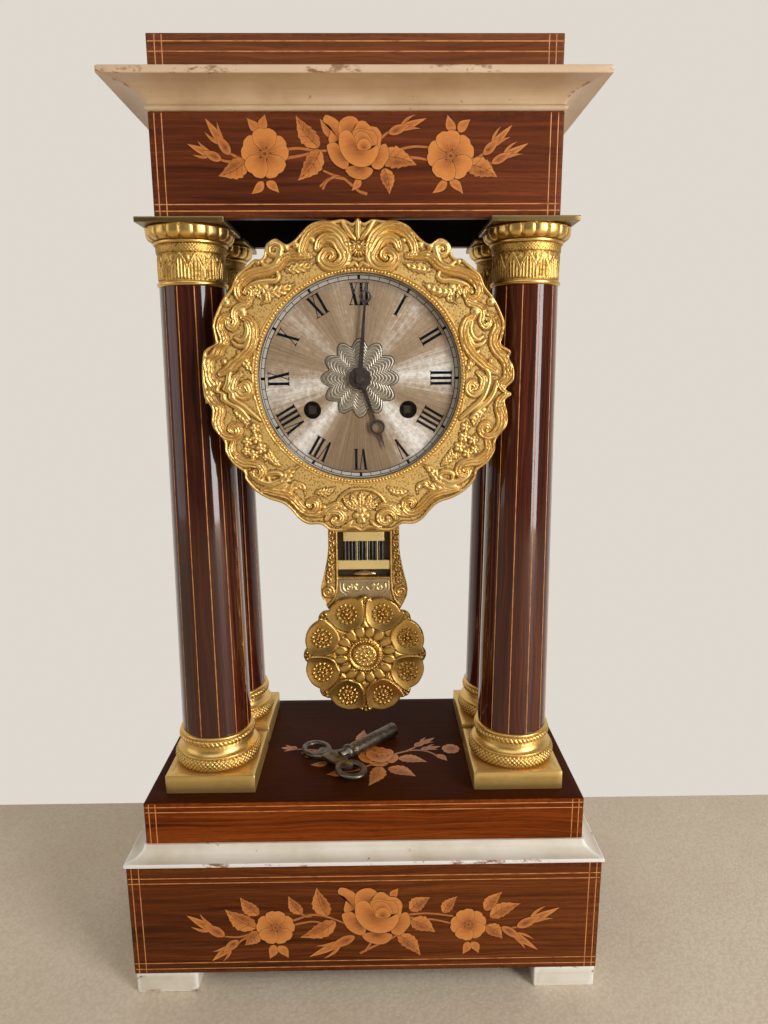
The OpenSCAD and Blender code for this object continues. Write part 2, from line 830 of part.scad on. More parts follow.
module dial_glass() {
    edge_r = bezel_bore_r - 0.3;
    front = y_bezel - bezel_t + glass_lip + joint_gap;
    ball_r = (edge_r * edge_r + glass_rise * glass_rise) / (2 * glass_rise);
    color("lightblue", 0.3) on_dial() turned_y() union() {
        intersection() {
            translate([0, front - glass_rise + ball_r]) difference() {
                circle(r = ball_r, $fn = 360);
                circle(r = ball_r - glass_t, $fn = 360);
            }
            translate([0, front - glass_rise - 1]) square([edge_r, glass_rise + 1 + glass_edge_t]);
        }
        translate([edge_r - 2, front]) square([glass_seat_r - joint_gap - edge_r + 2, glass_edge_t]);
    }
}

module dial() {
    color("silver") on_dial() slab(y_dial0, y_dial1) difference() {
        circle(r = dial_r);
        circle(r = hour_pipe_r + 0.2);
        at(GOING) circle(r = winding_hole_r);
        at(STRIKE) circle(r = winding_hole_r);
    }
}

// A moon hand that points up: a tapered stem, an open ring and a slim tip
module hand_outline(boss_r, hole_r, ring_at, ring_r, len) {
    difference() {
        union() {
            circle(r = boss_r);
            polygon([[-1.3, 0], [1.3, 0], [0.5, ring_at - ring_r + 0.6], [-0.5, ring_at - ring_r + 0.6]]);
            translate([0, ring_at]) circle(r = ring_r);
            polygon([[-1, ring_at + ring_r - 0.6], [1, ring_at + ring_r - 0.6], [0, len]]);
        }
        circle(r = hole_r);
        translate([0, ring_at + 0.3]) circle(r = ring_r * 0.66);
    }
}

module hour_hand() {
    color("dimgray") on_dial() slab(y_hour - hand_t, y_hour) rotate(-hour_hand_turn)
        hand_outline(4.8, hour_pipe_r + fit, hour_hand_len * 0.69, 3.7, hour_hand_len);
}

module minute_hand() {
    color("dimgray") on_dial() slab(y_minute - hand_t, y_minute) rotate(-minute_hand_turn)
        hand_outline(5.3, cannon_r + fit, minute_hand_len * 0.82, 2.9, minute_hand_len);
}

module hand_collet() {
    front = y_minute - hand_t;
    color("dimgray") on_dial() turned_y() difference() {
        union() {
            translate([0, front - 1.7 - joint_gap]) square([1.9, 1.7]);
            translate([0, front - 0.7 - joint_gap]) square([2.6, 0.7]);
        }
        translate([0, front - 1]) square([1 + fit, 2]);
    }
}

// Movement plates

module plate_holes(r) {
    for (p = TRAIN_PIVOTS) at(p) circle(r = r);
    for (p = PILLARS) at(p) circle(r = cannon_r + fit);
}

module front_plate() {
    color("khaki") on_dial() union() {
        slab(y_front0, y_front1) difference() {
            circle(r = plate_r);
            plate_holes(pivot_r + fit);
            at(STRIKE_SECOND) circle(r = pivot_r + fit);
            at(HAMMER) circle(r = pivot_r + fit);
            at(ANCHOR) circle(r = pivot_r + fit);
            at(CENTRE) circle(r = cannon_r + fit);
            for (p = [GOING, STRIKE]) at(p) circle(r = winding_arbor_r + fit);
        }
        rod_y(MINUTE, pivot_r, y_hour_wheel - 0.8, y_front0 + tiny);
    }
}

module back_plate() {
    color("khaki") on_dial() slab(y_back0, y_back1) difference() {
        circle(r = plate_r);
        plate_holes(pivot_r + fit);
        at(CENTRE) circle(r = pivot_r + fit);
        at(STRIKE_SECOND) circle(r = arbor_r + fit);
        at(HAMMER) circle(r = arbor_r + fit);
        at(ANCHOR) circle(r = 3);
        for (p = [GOING, STRIKE]) at(p) circle(r = 2 + fit);
    }
}

module plate_pillars() {
    color("darkkhaki") on_dial() for (p = PILLARS) {
        rod_y(p, 2.5, y_front1, y_back0);
        rod_y(p, cannon_r, y_front0, y_back1 + 1.5);
    }
}

// Going train, from the spring barrel to the escape wheel

module barrel(p, mate) {
    wall = 1.5;
    bore = winding_arbor_r + fit;
    slab(y_barrel_gear, y_barrel_gear + barrel_gear_t) at(p) difference() {
        rotate(heading(p, mate)) gear(barrel_teeth, barrel_mod);
        circle(r = bore);
    }
    translate([p.x, 0, p.y]) turned_y() difference() {
        translate([bore, y_barrel0]) square([barrel_r - bore, y_barrel_gear - y_barrel0 + tiny]);
        translate([bore - 1, y_barrel0 + wall])
            square([barrel_r - wall - bore + 1, y_barrel_gear - y_barrel0 - wall]);
    }
}

module going_barrel() { color("khaki") on_dial() barrel(GOING, SECOND); }
module strike_barrel() { color("khaki") on_dial() barrel(STRIKE, STRIKE_SECOND); }

// A winding arbor with its ratchet wheel and its square behind the dial
module winding_arbor(p) {
    teeth = 24;
    ratchet_t = 1.4;
    rod_y(p, winding_arbor_r, y_front0 - 0.8, y_back0 - arbor_shake);
    rod_y(p, 2, y_back0 - 1, y_back1 + 0.5);
    slab(y_front0 - 0.8 - ratchet_t, y_front0 - 0.8 + tiny) at(p) polygon([
        for (i = [0:teeth - 1], q = [[0, ratchet_r], [0.8, ratchet_r - 1]])
            let (a = (i + q[0]) * 360 / teeth) q[1] * [cos(a), sin(a)]
    ]);
    slab(y_dial1 + 2, y_front0 - 0.8) at(p) square(winding_square, center = true);
}

module going_arbor() { color("gray") on_dial() winding_arbor(GOING); }
module strike_arbor() { color("gray") on_dial() winding_arbor(STRIKE); }

module second_wheel() {
    color("khaki") on_dial() {
        arbor(SECOND);
        slab(y_barrel_gear - 0.3, y_barrel_gear + pinion_t - 0.3) at(SECOND)
            pinion(second_leaves, barrel_mod, heading(SECOND, GOING));
        slab(y_second_wheel, y_second_wheel + wheel_t) at(SECOND)
            wheel(second_teeth, second_mod, heading(SECOND, CENTRE));
    }
}

module centre_wheel() {
    color("khaki") on_dial() {
        rod_y(CENTRE, arbor_r, y_front1 + arbor_shake, y_back0 - arbor_shake);
        rod_y(CENTRE, pivot_r, y_back0 - 1, y_back1 - arbor_shake);
        rod_y(CENTRE, cannon_r, y_minute - hand_t, y_front1 + arbor_shake + tiny);
        rod_y(CENTRE, 1, y_minute - hand_t - 0.9, y_front1);
        slab(y_second_wheel - 0.7, y_second_wheel + pinion_t - 0.7)
            pinion(centre_leaves, second_mod, heading(CENTRE, SECOND));
        slab(y_centre_wheel, y_centre_wheel + wheel_t)
            wheel(centre_teeth, centre_mod, heading(CENTRE, THIRD));
        slab(y_minute_wheel - 0.3, y_minute_wheel + 1.7)
            rotate(heading(CENTRE, MINUTE)) gear(cannon_leaves, motion_mod);
    }
}

module third_wheel() {
    color("khaki") on_dial() {
        arbor(THIRD);
        slab(y_centre_wheel - 0.4, y_centre_wheel + 2) at(THIRD)
            pinion(third_leaves, centre_mod, heading(THIRD, CENTRE));
        slab(y_third_wheel, y_third_wheel + wheel_t) at(THIRD)
            wheel(third_teeth, third_mod, heading(THIRD, ESCAPE));
    }
}

module escape_wheel() {
    root = escape_r - 1.4;
    color("khaki") on_dial() {
        arbor(ESCAPE);
        slab(y_third_wheel - 0.7, y_third_wheel + pinion_t - 0.7) at(ESCAPE)
            pinion(escape_leaves, third_mod, heading(ESCAPE, THIRD));
        slab(y_escape, y_escape + 1) at(ESCAPE) difference() {
            polygon([
                for (i = [0:escape_teeth - 1], q = [[0, root], [0.3, escape_r], [0.45, escape_r], [0.6, root]])
                    let (a = (i + q[0]) * 360 / escape_teeth) q[1] * [cos(a), sin(a)]
            ]);
            for (k = [0:4]) rotate(k * 72) translate([4.9, 0]) circle(r = 1.7);
        }
    }
}

// Pallets, their arbor and the crutch behind the back plate, which holds the pendulum rod
pallet_clear = 1;
crutch_len = 46;
crutch_y = y_back1 + 2.2;

module anchor() {
    nib = from(ESCAPE, 45, escape_r + pallet_clear);
    fork = rod_w / 2 + 0.2;
    color("gray") on_dial() {
        rod_y(ANCHOR, arbor_r, y_front1 + arbor_shake, y_back1 + 5.4);
        rod_y(ANCHOR, pivot_r, y_front0 + arbor_shake, y_front1 + 1);
        slab(y_escape - 0.5, y_escape + 1.5) difference() {
            polygon([
                ANCHOR + [-2.4, 2.6], ANCHOR + [2.4, 2.6], nib + [3.2, 2.4], nib, nib + [-1.2, 2.6],
                ANCHOR + [0, -2], [-nib.x, nib.y] + [1.2, 2.6], [-nib.x, nib.y], [-nib.x, nib.y] + [-3.2, 2.4]
            ]);
            at(ANCHOR) circle(r = arbor_r - tiny);
        }
        slab(crutch_y, crutch_y + 1.5) union() {
            at(ANCHOR) circle(r = 2.6);
            translate([-1.2, ANCHOR.y - crutch_len]) square([2.4, crutch_len]);
            translate([-fork - 1.2, ANCHOR.y - crutch_len]) square([2 * fork + 2.4, 2]);
        }
        for (s = [-1, 1]) {
            translate([s > 0 ? fork : -fork - 1.2, crutch_y, ANCHOR.y - crutch_len])
                cube([1.2, y_pendulum + rod_t - crutch_y, 2]);
        }
    }
}

module suspension_cock() {
    y0 = y_back1 + 4.6;
    t = 2.6;
    post = [9, 45];
    color("khaki") on_dial() difference() {
        union() {
            slab(y0, y0 + t) union() {
                translate([-4, ANCHOR.y - 3]) square([8, post.y - ANCHOR.y + 5]);
                translate([-post.x - 2, post.y - 2]) square([2 * post.x + 4, 4]);
            }
            for (s = [-1, 1]) rod_y([s * post.x, post.y], 1.8, y_back1, y0 + tiny);
            rod_y(ANCHOR, pivot_pin_r, y0 + t - tiny, y_pendulum + rod_t / 2 + 1.2);
            rod_y(ANCHOR, 1.9, y_pendulum + rod_t / 2 + 0.4, y_pendulum + rod_t / 2 + 1.2);
        }
        rod_y(ANCHOR, arbor_r + fit, y0 - 1, y0 + t - 1.4);
    }
}

// Motion work under the dial

module minute_wheel() {
    color("khaki") on_dial() difference() {
        union() {
            slab(y_minute_wheel, y_minute_wheel + wheel_t) at(MINUTE)
                pinion_wheel(minute_teeth, motion_mod, heading(MINUTE, CENTRE));
            rod_y(MINUTE, 1.9, y_hour_wheel, y_minute_wheel + wheel_t);
            slab(y_hour_wheel - 0.4, y_hour_wheel + 1.6) at(MINUTE)
                rotate(heading(MINUTE, CENTRE)) gear(minute_leaves, hour_mod);
        }
        rod_y(MINUTE, pivot_r + fit, y_hour_wheel - 1, y_minute_wheel + wheel_t + 1);
    }
}

// A wheel that has a gap, not a tooth, on the given heading
module pinion_wheel(teeth, mod, turn) {
    wheel(teeth, mod, turn + 180 / teeth);
}

module hour_wheel() {
    color("khaki") on_dial() difference() {
        union() {
            slab(y_hour_wheel, y_hour_wheel + wheel_t)
                pinion_wheel(hour_teeth, hour_mod, heading(CENTRE, MINUTE));
            rod_y(CENTRE, hour_pipe_r, y_hour - hand_t, y_hour_wheel + wheel_t);
        }
        rod_y(CENTRE, cannon_r + fit, y_hour - hand_t - 1, y_hour_wheel + wheel_t + 1);
    }
}

// Strike train, count wheel, hammer and bell

module strike_second_wheel() {
    color("khaki") on_dial() {
        arbor(STRIKE_SECOND);
        rod_y(STRIKE_SECOND, arbor_r, y_back0 - 1, y_back1 + 2.6);
        slab(y_barrel_gear - 0.3, y_barrel_gear + pinion_t - 0.3) at(STRIKE_SECOND)
            pinion(second_leaves, barrel_mod, heading(STRIKE_SECOND, STRIKE));
        slab(y_strike_second, y_strike_second + wheel_t) at(STRIKE_SECOND)
            wheel(second_teeth, strike_mod, heading(STRIKE_SECOND, PIN));
    }
}

module pin_wheel() {
    pins = 10;
    color("khaki") on_dial() {
        arbor(PIN);
        slab(y_strike_second - 0.6, y_strike_second + 2) at(PIN)
            pinion(pin_leaves, strike_mod, heading(PIN, STRIKE_SECOND));
        slab(y_pin_wheel, y_pin_wheel + wheel_t) at(PIN) wheel(pin_teeth, strike_mod, heading(PIN, FLY));
        for (k = [0:pins - 1]) {
            rod_y(from(PIN, (k + 0.5) * 360 / pins, pin_circle_r + 1.6), 0.5,
                y_pin_wheel + wheel_t - tiny, y_pin_wheel + wheel_t + pin_len);
        }
    }
}

module strike_fly() {
    vane_half = 6;
    vane_len = 12;
    color("khaki") on_dial() {
        arbor(FLY);
        slab(y_pin_wheel - 0.6, y_pin_wheel + 1.8) at(FLY)
            pinion(fly_leaves, strike_mod, heading(FLY, PIN));
        translate([FLY.x - vane_half, y_fly, FLY.y - 0.4]) cube([2 * vane_half, vane_len, 0.8]);
    }
}

// The count wheel has one notch after each hour's run of blows
module count_wheel() {
    count_r = 10.6;
    blows = 90;
    color("khaki") on_dial() slab(y_back1 + 0.6, y_back1 + 1.8) at(STRIKE_SECOND) difference() {
        circle(r = count_r);
        circle(r = arbor_r + fit);
        for (h = [1:12]) {
            rotate((h * (h + 1) / 2 + h) * 360 / blows) translate([count_r - 1.6, -0.3]) square([3, 0.6]);
        }
    }
}

bell_rim_y = y_pendulum + 5.5;
bell_h = 12.5;
bell_crown_y = bell_rim_y + bell_h;
bell_wall = 1.5;

// Half of a bell's section with a flat crown, over the angles of a list
function bell_curve(r, h, angles) = [
    for (a = angles) [r * sin(a), bell_rim_y + h * min(cos(a), cos(8)) / cos(8)]
];

module bell() {
    color("tan") on_dial() translate([BELL.x, 0, BELL.y]) turned_y() polygon(concat(
        bell_curve(bell_r, bell_h, [0:7.5:90]),
        bell_curve(bell_r - bell_wall, bell_h - bell_wall, [90:-7.5:0])
    ));
}

module bell_stand() {
    arm_t = 2.4;
    far = norm(BELL - BELL_POST);
    color("gray") on_dial() {
        rod_y(BELL_POST, 2, y_back1, bell_crown_y + arm_t);
        slab(bell_crown_y, bell_crown_y + arm_t) {
            at(BELL_POST) rotate(heading(BELL_POST, BELL)) translate([0, -2]) square([far, 4]);
            at(BELL) circle(r = 4);
        }
    }
}

hammer_head_r = 3;
hammer_gap = 0.6;
HAMMER_HEAD = from(BELL, 190, bell_r + hammer_head_r + hammer_gap);

module hammer() {
    y0 = bell_rim_y + 1;
    arm_len = norm(HAMMER_HEAD - HAMMER);
    tail_len = norm(PIN - HAMMER) - pin_circle_r - 3.4;
    y_tail = y_pin_wheel + wheel_t + 1;
    color("gray") on_dial() {
        rod_y(HAMMER, arbor_r, y_front1 + arbor_shake, y0 + 2);
        rod_y(HAMMER, pivot_r, y_front0 + arbor_shake, y_front1 + 1);
        slab(y0, y0 + 2) {
            at(HAMMER) circle(r = 2.4);
            at(HAMMER) rotate(heading(HAMMER, HAMMER_HEAD)) translate([0, -0.8]) square([arm_len, 1.6]);
        }
        rod_y(HAMMER_HEAD, hammer_head_r, y0 - 1, y0 + 3.5);
        slab(y_tail, y_tail + 1.4) at(HAMMER) rotate(heading(HAMMER, PIN))
            translate([0, -0.7]) square([tail_len, 1.4]);
    }
}

// Pendulum

module pendulum_rod() {
    color("gray") {
        translate([0, 0, z_pivot]) slab(y_pendulum - rod_t / 2, y_pendulum + rod_t / 2) difference() {
            union() {
                circle(r = eye_r);
                translate([-rod_w / 2, z_frame0 - rod_lap - z_pivot])
                    square([rod_w, z_pivot - z_frame0 + rod_lap]);
            }
            circle(r = pivot_pin_r + fit);
        }
        translate([0, y_pendulum, z_bob - bob_r * 0.6])
            cylinder(r = screw_r, h = z_frame0 - joint_gap - z_bob + bob_r * 0.6);
    }
}

module pendulum_frame() {
    scroll_r = 5.6;
    z_scroll = z_bob + bob_r + 2;
    back_t = 0.4;
    side = [
        [frame_half_w + 1, z_frame0],
        [frame_half_w + scroll_r * 0.7, z_scroll],
        [frame_half_w + 2.2, z_window + window_h * 0.18],
        [frame_half_w, z_window + window_h * 0.6],
        [frame_half_w, z_frame1]
    ];
    color("gold") difference() {
        slab(y_frame0, y_frame0 + frame_t) union() {
            polygon(concat(side, [for (k = [len(side) - 1:-1:0]) [-side[k].x, side[k].y]]));
            for (s = [-1, 1]) {
                translate([s * (frame_half_w - 1), z_scroll]) circle(r = scroll_r);
            }
        }
        slab(y_frame0 - 1, y_frame0 + frame_t - back_t)
            translate([-window_w / 2, z_window]) square([window_w, window_h]);
    }
}

// Soldered grille of rods between two cross plates in the window of the frame
module gridiron_grille() {
    rods = 9;
    plate_h = window_h * 0.2;
    top_w = 24;
    low_w = window_w - 2 * joint_gap;
    grille_t = 1.6;
    z0 = z_window + window_h * 0.17;
    z1 = z_window + window_h - joint_gap;
    y0 = y_frame0 + 0.4;
    color("wheat") slab(y0, y0 + grille_t) {
        translate([-top_w / 2, z1 - plate_h]) square([top_w, plate_h]);
        translate([-low_w / 2, z0]) square([low_w, plate_h]);
        for (k = [0:rods - 1]) {
            translate([(k - (rods - 1) / 2) * (top_w - 2) / (rods - 1) - 0.7, z0]) square([1.4, z1 - z0]);
        }
    }
}

module bob_outline() {
    petal_r = bob_r * 0.36;
    bud_r = bob_r * 0.16;
    circle(r = bob_r * 0.8);
    for (k = [0:7]) {
        at(from([0, 0], 22.5 + 45 * k, bob_r - petal_r)) circle(r = petal_r);
        at(from([0, 0], 45 * k, bob_r - bud_r)) circle(r = bud_r);
    }
}

module pendulum_bob() {
    y0 = y_bob1 - bob_t;
    lug_w = 7;
    dish_r = bob_r * 0.36;
    color("gold") translate([0, 0, z_bob]) difference() {
        union() {
            slab(y0, y_bob1) bob_outline();
            turned_y() translate([0, y0 - 1.6]) square([bob_r * 0.22, 1.6 + tiny]);
            for (k = [0:7]) {
                translate([0, y0, 0]) rotate([0, 22.5 + 45 * k, 0]) translate([bob_r - dish_r, 0, 0])
                    rotate([90, 0, 0]) rotate_extrude() translate([dish_r - 2.2, 0]) intersection() {
                        circle(r = 1.2);
                        translate([-2, -0.4]) square([4, 2]);
                    }
            }
            translate([-lug_w / 2, y_bob1 - tiny, -lug_drop])
                cube([lug_w, y_pendulum + 3.5 - y_bob1, lug_h]);
        }
        translate([0, y_pendulum, -lug_drop - 1]) cylinder(r = screw_r + joint_gap, h = lug_h + 2);
    }
}

module rating_nut() {
    color("goldenrod") translate([0, y_pendulum, z_bob - lug_drop - joint_gap - rating_nut_h]) difference() {
        cylinder(r = nut_r, h = rating_nut_h);
        translate([0, 0, -1]) cylinder(r = screw_r + fit, h = rating_nut_h + 2);
    }
}

// Winding key, lying on the platform

module winding_key() {
    socket = winding_square + 0.4;
    socket_deep = 14;
    color("dimgray") translate(key_axis) rotate(key_turn) difference() {
        union() {
            rotate([0, 90, 0]) cylinder(r = key_r, h = key_len);
            translate([0, 0, -key_bow_t / 2]) linear_extrude(height = key_bow_t) {
                for (s = [-1, 1]) {
                    translate([-key_bow_back, s * key_loop_out]) circle(r = key_loop_r);
                    polygon([[4, 0], [4, s * key_r * 0.9], [-1, s * key_loop_out * 0.6], [-4, s * key_loop_out],
                        [-key_bow_back - 4.4, s * key_loop_out * 0.66], [-key_bow_back - 3, 0]]);
                }
            }
        }
        for (s = [-1, 1]) {
            translate([-key_bow_back, s * key_loop_out, -key_bow_t])
                cylinder(r = key_hole_r, h = 2 * key_bow_t);
        }
        translate([key_len - socket_deep, -socket / 2, -socket / 2]) cube([socket_deep + 1, socket, socket]);
    }
}

feet();
base_box();
base_moulding();
platform();
column_plinths();
column_bases();
front_left_column_shaft();
front_right_column_shaft();
rear_left_column_shaft();
rear_right_column_shaft();
column_capitals();
capital_abaci();
column_tie_bolts();
soffit_board();
frieze_box();
cornice_moulding();
attic_block();
drum_hanger();
hanger_bolts();
movement_drum();
dial_ring();
rear_ring();
rear_door();
rear_hinge_pin();
bezel();
dial_glass();
bezel_hinge_pin();
dial();
hour_hand();
minute_hand();
hand_collet();
front_plate();
back_plate();
plate_pillars();
going_barrel();
going_arbor();
second_wheel();
centre_wheel();
third_wheel();
escape_wheel();
anchor();
suspension_cock();
minute_wheel();
hour_wheel();
strike_barrel();
strike_arbor();
strike_second_wheel();
pin_wheel();
strike_fly();
count_wheel();
hammer();
bell();
bell_stand();
pendulum_rod();
pendulum_frame();
gridiron_grille();
pendulum_bob();
rating_nut();
winding_key();
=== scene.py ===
# Looks of a portico clock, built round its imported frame.
import json
import math

import bmesh
import bpy
import numpy as np
from mathutils import Matrix, Vector

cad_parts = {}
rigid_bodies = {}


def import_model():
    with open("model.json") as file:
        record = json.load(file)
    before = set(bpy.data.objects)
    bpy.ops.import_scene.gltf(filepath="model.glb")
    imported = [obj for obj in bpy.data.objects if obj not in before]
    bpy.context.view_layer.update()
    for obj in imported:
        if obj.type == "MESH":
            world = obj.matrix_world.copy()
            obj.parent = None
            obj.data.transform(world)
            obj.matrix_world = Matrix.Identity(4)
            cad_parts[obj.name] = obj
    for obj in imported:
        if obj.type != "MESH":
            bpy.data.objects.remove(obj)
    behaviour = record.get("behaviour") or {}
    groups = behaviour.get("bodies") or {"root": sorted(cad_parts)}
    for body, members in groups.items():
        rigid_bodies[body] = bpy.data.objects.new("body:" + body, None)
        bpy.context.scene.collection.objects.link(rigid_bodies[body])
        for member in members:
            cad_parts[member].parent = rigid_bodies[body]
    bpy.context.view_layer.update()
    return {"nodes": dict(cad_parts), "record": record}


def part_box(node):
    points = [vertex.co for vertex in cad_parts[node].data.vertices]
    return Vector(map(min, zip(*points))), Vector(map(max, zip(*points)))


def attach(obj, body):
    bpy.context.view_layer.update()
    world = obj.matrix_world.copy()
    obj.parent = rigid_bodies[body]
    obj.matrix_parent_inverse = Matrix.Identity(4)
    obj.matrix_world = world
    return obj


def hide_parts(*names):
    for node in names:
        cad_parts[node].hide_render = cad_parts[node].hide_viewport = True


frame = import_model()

scene = bpy.context.scene
scene.view_settings.view_transform = "Standard"
MM = 0.001
TAU = 2 * math.pi

# Places of the clock, in mm
DIAL_Z = 328.0
DIAL_FACE = -45.5
COLUMN_X, COLUMN_Y = 82.8, 26.2
BOB_Z = 163.9

# Softened edge of a veneered board, and how far the edge value reaches in from it: wear, and on paint a
# painted highlight
SOFT_EDGE, WEAR_AND_HIGHLIGHT_REACH = 0.5, 4.0


def box_mm(node):
    lo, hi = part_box(node)
    return np.array(lo) / MM, np.array(hi) / MM


# Camera, fitted to the corners of the case in the photograph: place in m, turns in degrees, lens in mm
CAMERA_PLACE = (0.00691, -0.3915, 0.33111)
YAW_PITCH_ROLL = (0.73, -11.32, -0.32)
LENS, SENSOR = 24.63, 36


def stand_camera():
    yaw, pitch, roll = (math.radians(v) for v in YAW_PITCH_ROLL)
    ahead = Vector((math.sin(yaw) * math.cos(pitch), math.cos(yaw) * math.cos(pitch), math.sin(pitch)))
    right = Vector((math.cos(yaw), -math.sin(yaw), 0))
    up = right.cross(ahead)
    level = math.cos(roll) * right + math.sin(roll) * up
    upright = -math.sin(roll) * right + math.cos(roll) * up
    eye = bpy.data.cameras.new("camera")
    eye.lens, eye.sensor_width = LENS, SENSOR
    eye.clip_start = 0.01
    camera = bpy.data.objects.new("camera", eye)
    scene.collection.objects.link(camera)
    turn = Matrix((level, upright, -ahead)).transposed().to_4x4()
    camera.matrix_world = Matrix.Translation(CAMERA_PLACE) @ turn
    scene.camera = camera


stand_camera()


# Finishes

def tone(r, g, b):
    """A colour written as on a screen, 0 to 255."""
    def linear(v):
        return v / 12.92 if v <= 0.04045 else ((v + 0.055) / 1.055) ** 2.4
    return tuple(linear(v / 255) for v in (r, g, b)) + (1.0,)


def add_node(tree, kind, inputs=(), **settings):
    """A new node in a tree; an input is a value or another node's output."""
    node = tree.nodes.new(kind)
    for key, value in settings.items():
        setattr(node, key, value)
    for key, value in dict(inputs).items():
        if isinstance(value, bpy.types.NodeSocket):
            tree.links.new(value, node.inputs[key])
        else:
            node.inputs[key].default_value = value
    return node


def colour_stops(node, stops):
    """Sets a colour ramp's stops, each a place and a colour."""
    spots = node.color_ramp.elements
    spots.remove(spots[1])
    spots[0].position, spots[0].color = stops[0]
    for at, colour in stops[1:]:
        spots.new(at).color = colour
    return node.outputs[0]


class Finish:
    """A node material while it is put together."""

    def __init__(self, name):
        self.material = bpy.data.materials.new(name)
        self.material.use_nodes = True
        self.tree = self.material.node_tree
        self.tree.nodes.clear()
        self.at = self.add("ShaderNodeTexCoord")
        self.place = self.at.outputs["Object"]

    def add(self, kind, inputs=(), **settings):
        return add_node(self.tree, kind, inputs, **settings)

    def math(self, operation, a, b=0.0):
        return self.add("ShaderNodeMath", {0: a, 1: b}, operation=operation).outputs[0]

    def plus(self, a, b):
        return self.math("ADD", a, b)

    def less(self, a, b):
        return self.math("SUBTRACT", a, b)

    def times(self, a, b):
        return self.math("MULTIPLY", a, b)

    def parts(self, vector):
        return self.add("ShaderNodeSeparateXYZ", {0: vector}).outputs

    def vector(self, x, y, z):
        return self.add("ShaderNodeCombineXYZ", {0: x, 1: y, 2: z}).outputs[0]

    def stretch(self, scale, vector=None):
        return self.add("ShaderNodeMapping", {"Vector": vector or self.place, "Scale": scale}).outputs[0]

    def noise(self, scale, vector=None, detail=4.0, rough=0.55, warp=0.0):
        inputs = {"Vector": vector or self.place, "Scale": scale, "Detail": detail, "Roughness": rough,
                  "Distortion": warp}
        return self.add("ShaderNodeTexNoise", inputs).outputs[0]

    def cells(self, scale):
        return self.add("ShaderNodeTexVoronoi", {"Vector": self.place, "Scale": scale}).outputs["Distance"]

    def span(self, value, low, high, to_low=0.0, to_high=1.0):
        inputs = {0: value, 1: low, 2: high, 3: to_low, 4: to_high}
        return self.add("ShaderNodeMapRange", inputs).outputs[0]

    def ramp(self, value, *stops):
        return colour_stops(self.add("ShaderNodeValToRGB", {0: value}), stops)

    def blend(self, amount, a, b):
        return self.add("ShaderNodeMix", {0: amount, 6: a, 7: b}, data_type="RGBA").outputs[2]

    def crest(self):
        return self.add("ShaderNodeAttribute", attribute_name="crest").outputs["Fac"]

    def bump(self, height, distance, normal=None):
        inputs = {"Height": height, "Distance": distance}
        if normal is not None:
            inputs["Normal"] = normal
        return self.add("ShaderNodeBump", inputs).outputs[0]

    def surface(self, **inputs):
        named = {key.replace("_", " "): value for key, value in inputs.items()}
        shader = self.add("ShaderNodeBsdfPrincipled", named)
        self.add("ShaderNodeOutputMaterial", {"Surface": shader.outputs[0]})
        return self.material


def gilding(name, bright, mid, deep, stipple=0.09, rough=0.4, body=1.0):
    """Chased gilt bronze: burnished crests, matt stippled ground, brown in the hollows, painted shade round
    raised forms.
    """
    f = Finish(name)
    crest = f.crest()
    wear = f.noise(110.0, detail=5.0, rough=0.6)
    ground = f.span(crest, 0.5, 0.66, 1.0, 0.0)
    dots = f.cells(860.0)
    level = f.plus(crest, f.times(f.less(wear, 0.5), 0.35))
    if stipple:
        level = f.less(level, f.times(f.span(dots, 0.12, 0.5, 0.5, 0.0), ground))
    colour = f.ramp(level, (0.0, deep), (0.34, mid), (0.8, bright))
    cloud = f.noise(35.0, detail=3.0)
    colour = f.blend(f.span(cloud, 0.35, 0.75, 0.0, 0.25), colour, mid)
    gloss = f.plus(f.span(level, 0.1, 0.9, rough + 0.1, rough - 0.06), f.span(wear, 0.3, 0.7, -0.04, 0.06))
    normal = f.bump(f.times(dots, f.span(ground, 0.0, 1.0, 0.15, 1.0)), stipple * MM)
    normal = f.bump(f.noise(1400.0, detail=2.0), 0.02 * MM, normal)
    metallic = f.span(ground, 0.0, 1.0, 1.0, body) if body < 1 else 1.0
    return f.surface(Base_Color=colour, Metallic=metallic, Roughness=gloss, Normal=normal)


def brass(name, bright, dull, roughness, metallic=1.0):
    """Sheet and turned brass with fine brush lines, tarnish and rubbed edges."""
    f = Finish(name)
    tarnish = f.noise(45.0, detail=6.0, rough=0.6)
    lines = f.noise(1.0, f.stretch((60.0, 60.0, 1800.0)), detail=3.0)
    level = f.plus(tarnish, f.times(f.crest(), 0.35))
    level = f.plus(level, f.times(f.less(lines, 0.5), 0.3))
    colour = f.ramp(level, (0.25, dull), (0.75, bright))
    rough = f.plus(f.span(level, 0.2, 1.0, 0.1, -0.08), roughness)
    return f.surface(Base_Color=colour, Metallic=metallic, Roughness=rough, Normal=f.bump(lines, 0.01 * MM))


def metal(name, bright, dull, roughness, scale=120.0):
    """Steel or iron with a mottled skin."""
    f = Finish(name)
    mottle = f.noise(scale, detail=6.0, rough=0.65)
    fine = f.noise(scale * 9, detail=3.0)
    colour = f.ramp(mottle, (0.3, dull), (0.7, bright))
    rough = f.plus(f.span(fine, 0.3, 0.7, -0.07, 0.07), roughness)
    return f.surface(Base_Color=colour, Metallic=1.0, Roughness=rough, Normal=f.bump(fine, 0.02 * MM))


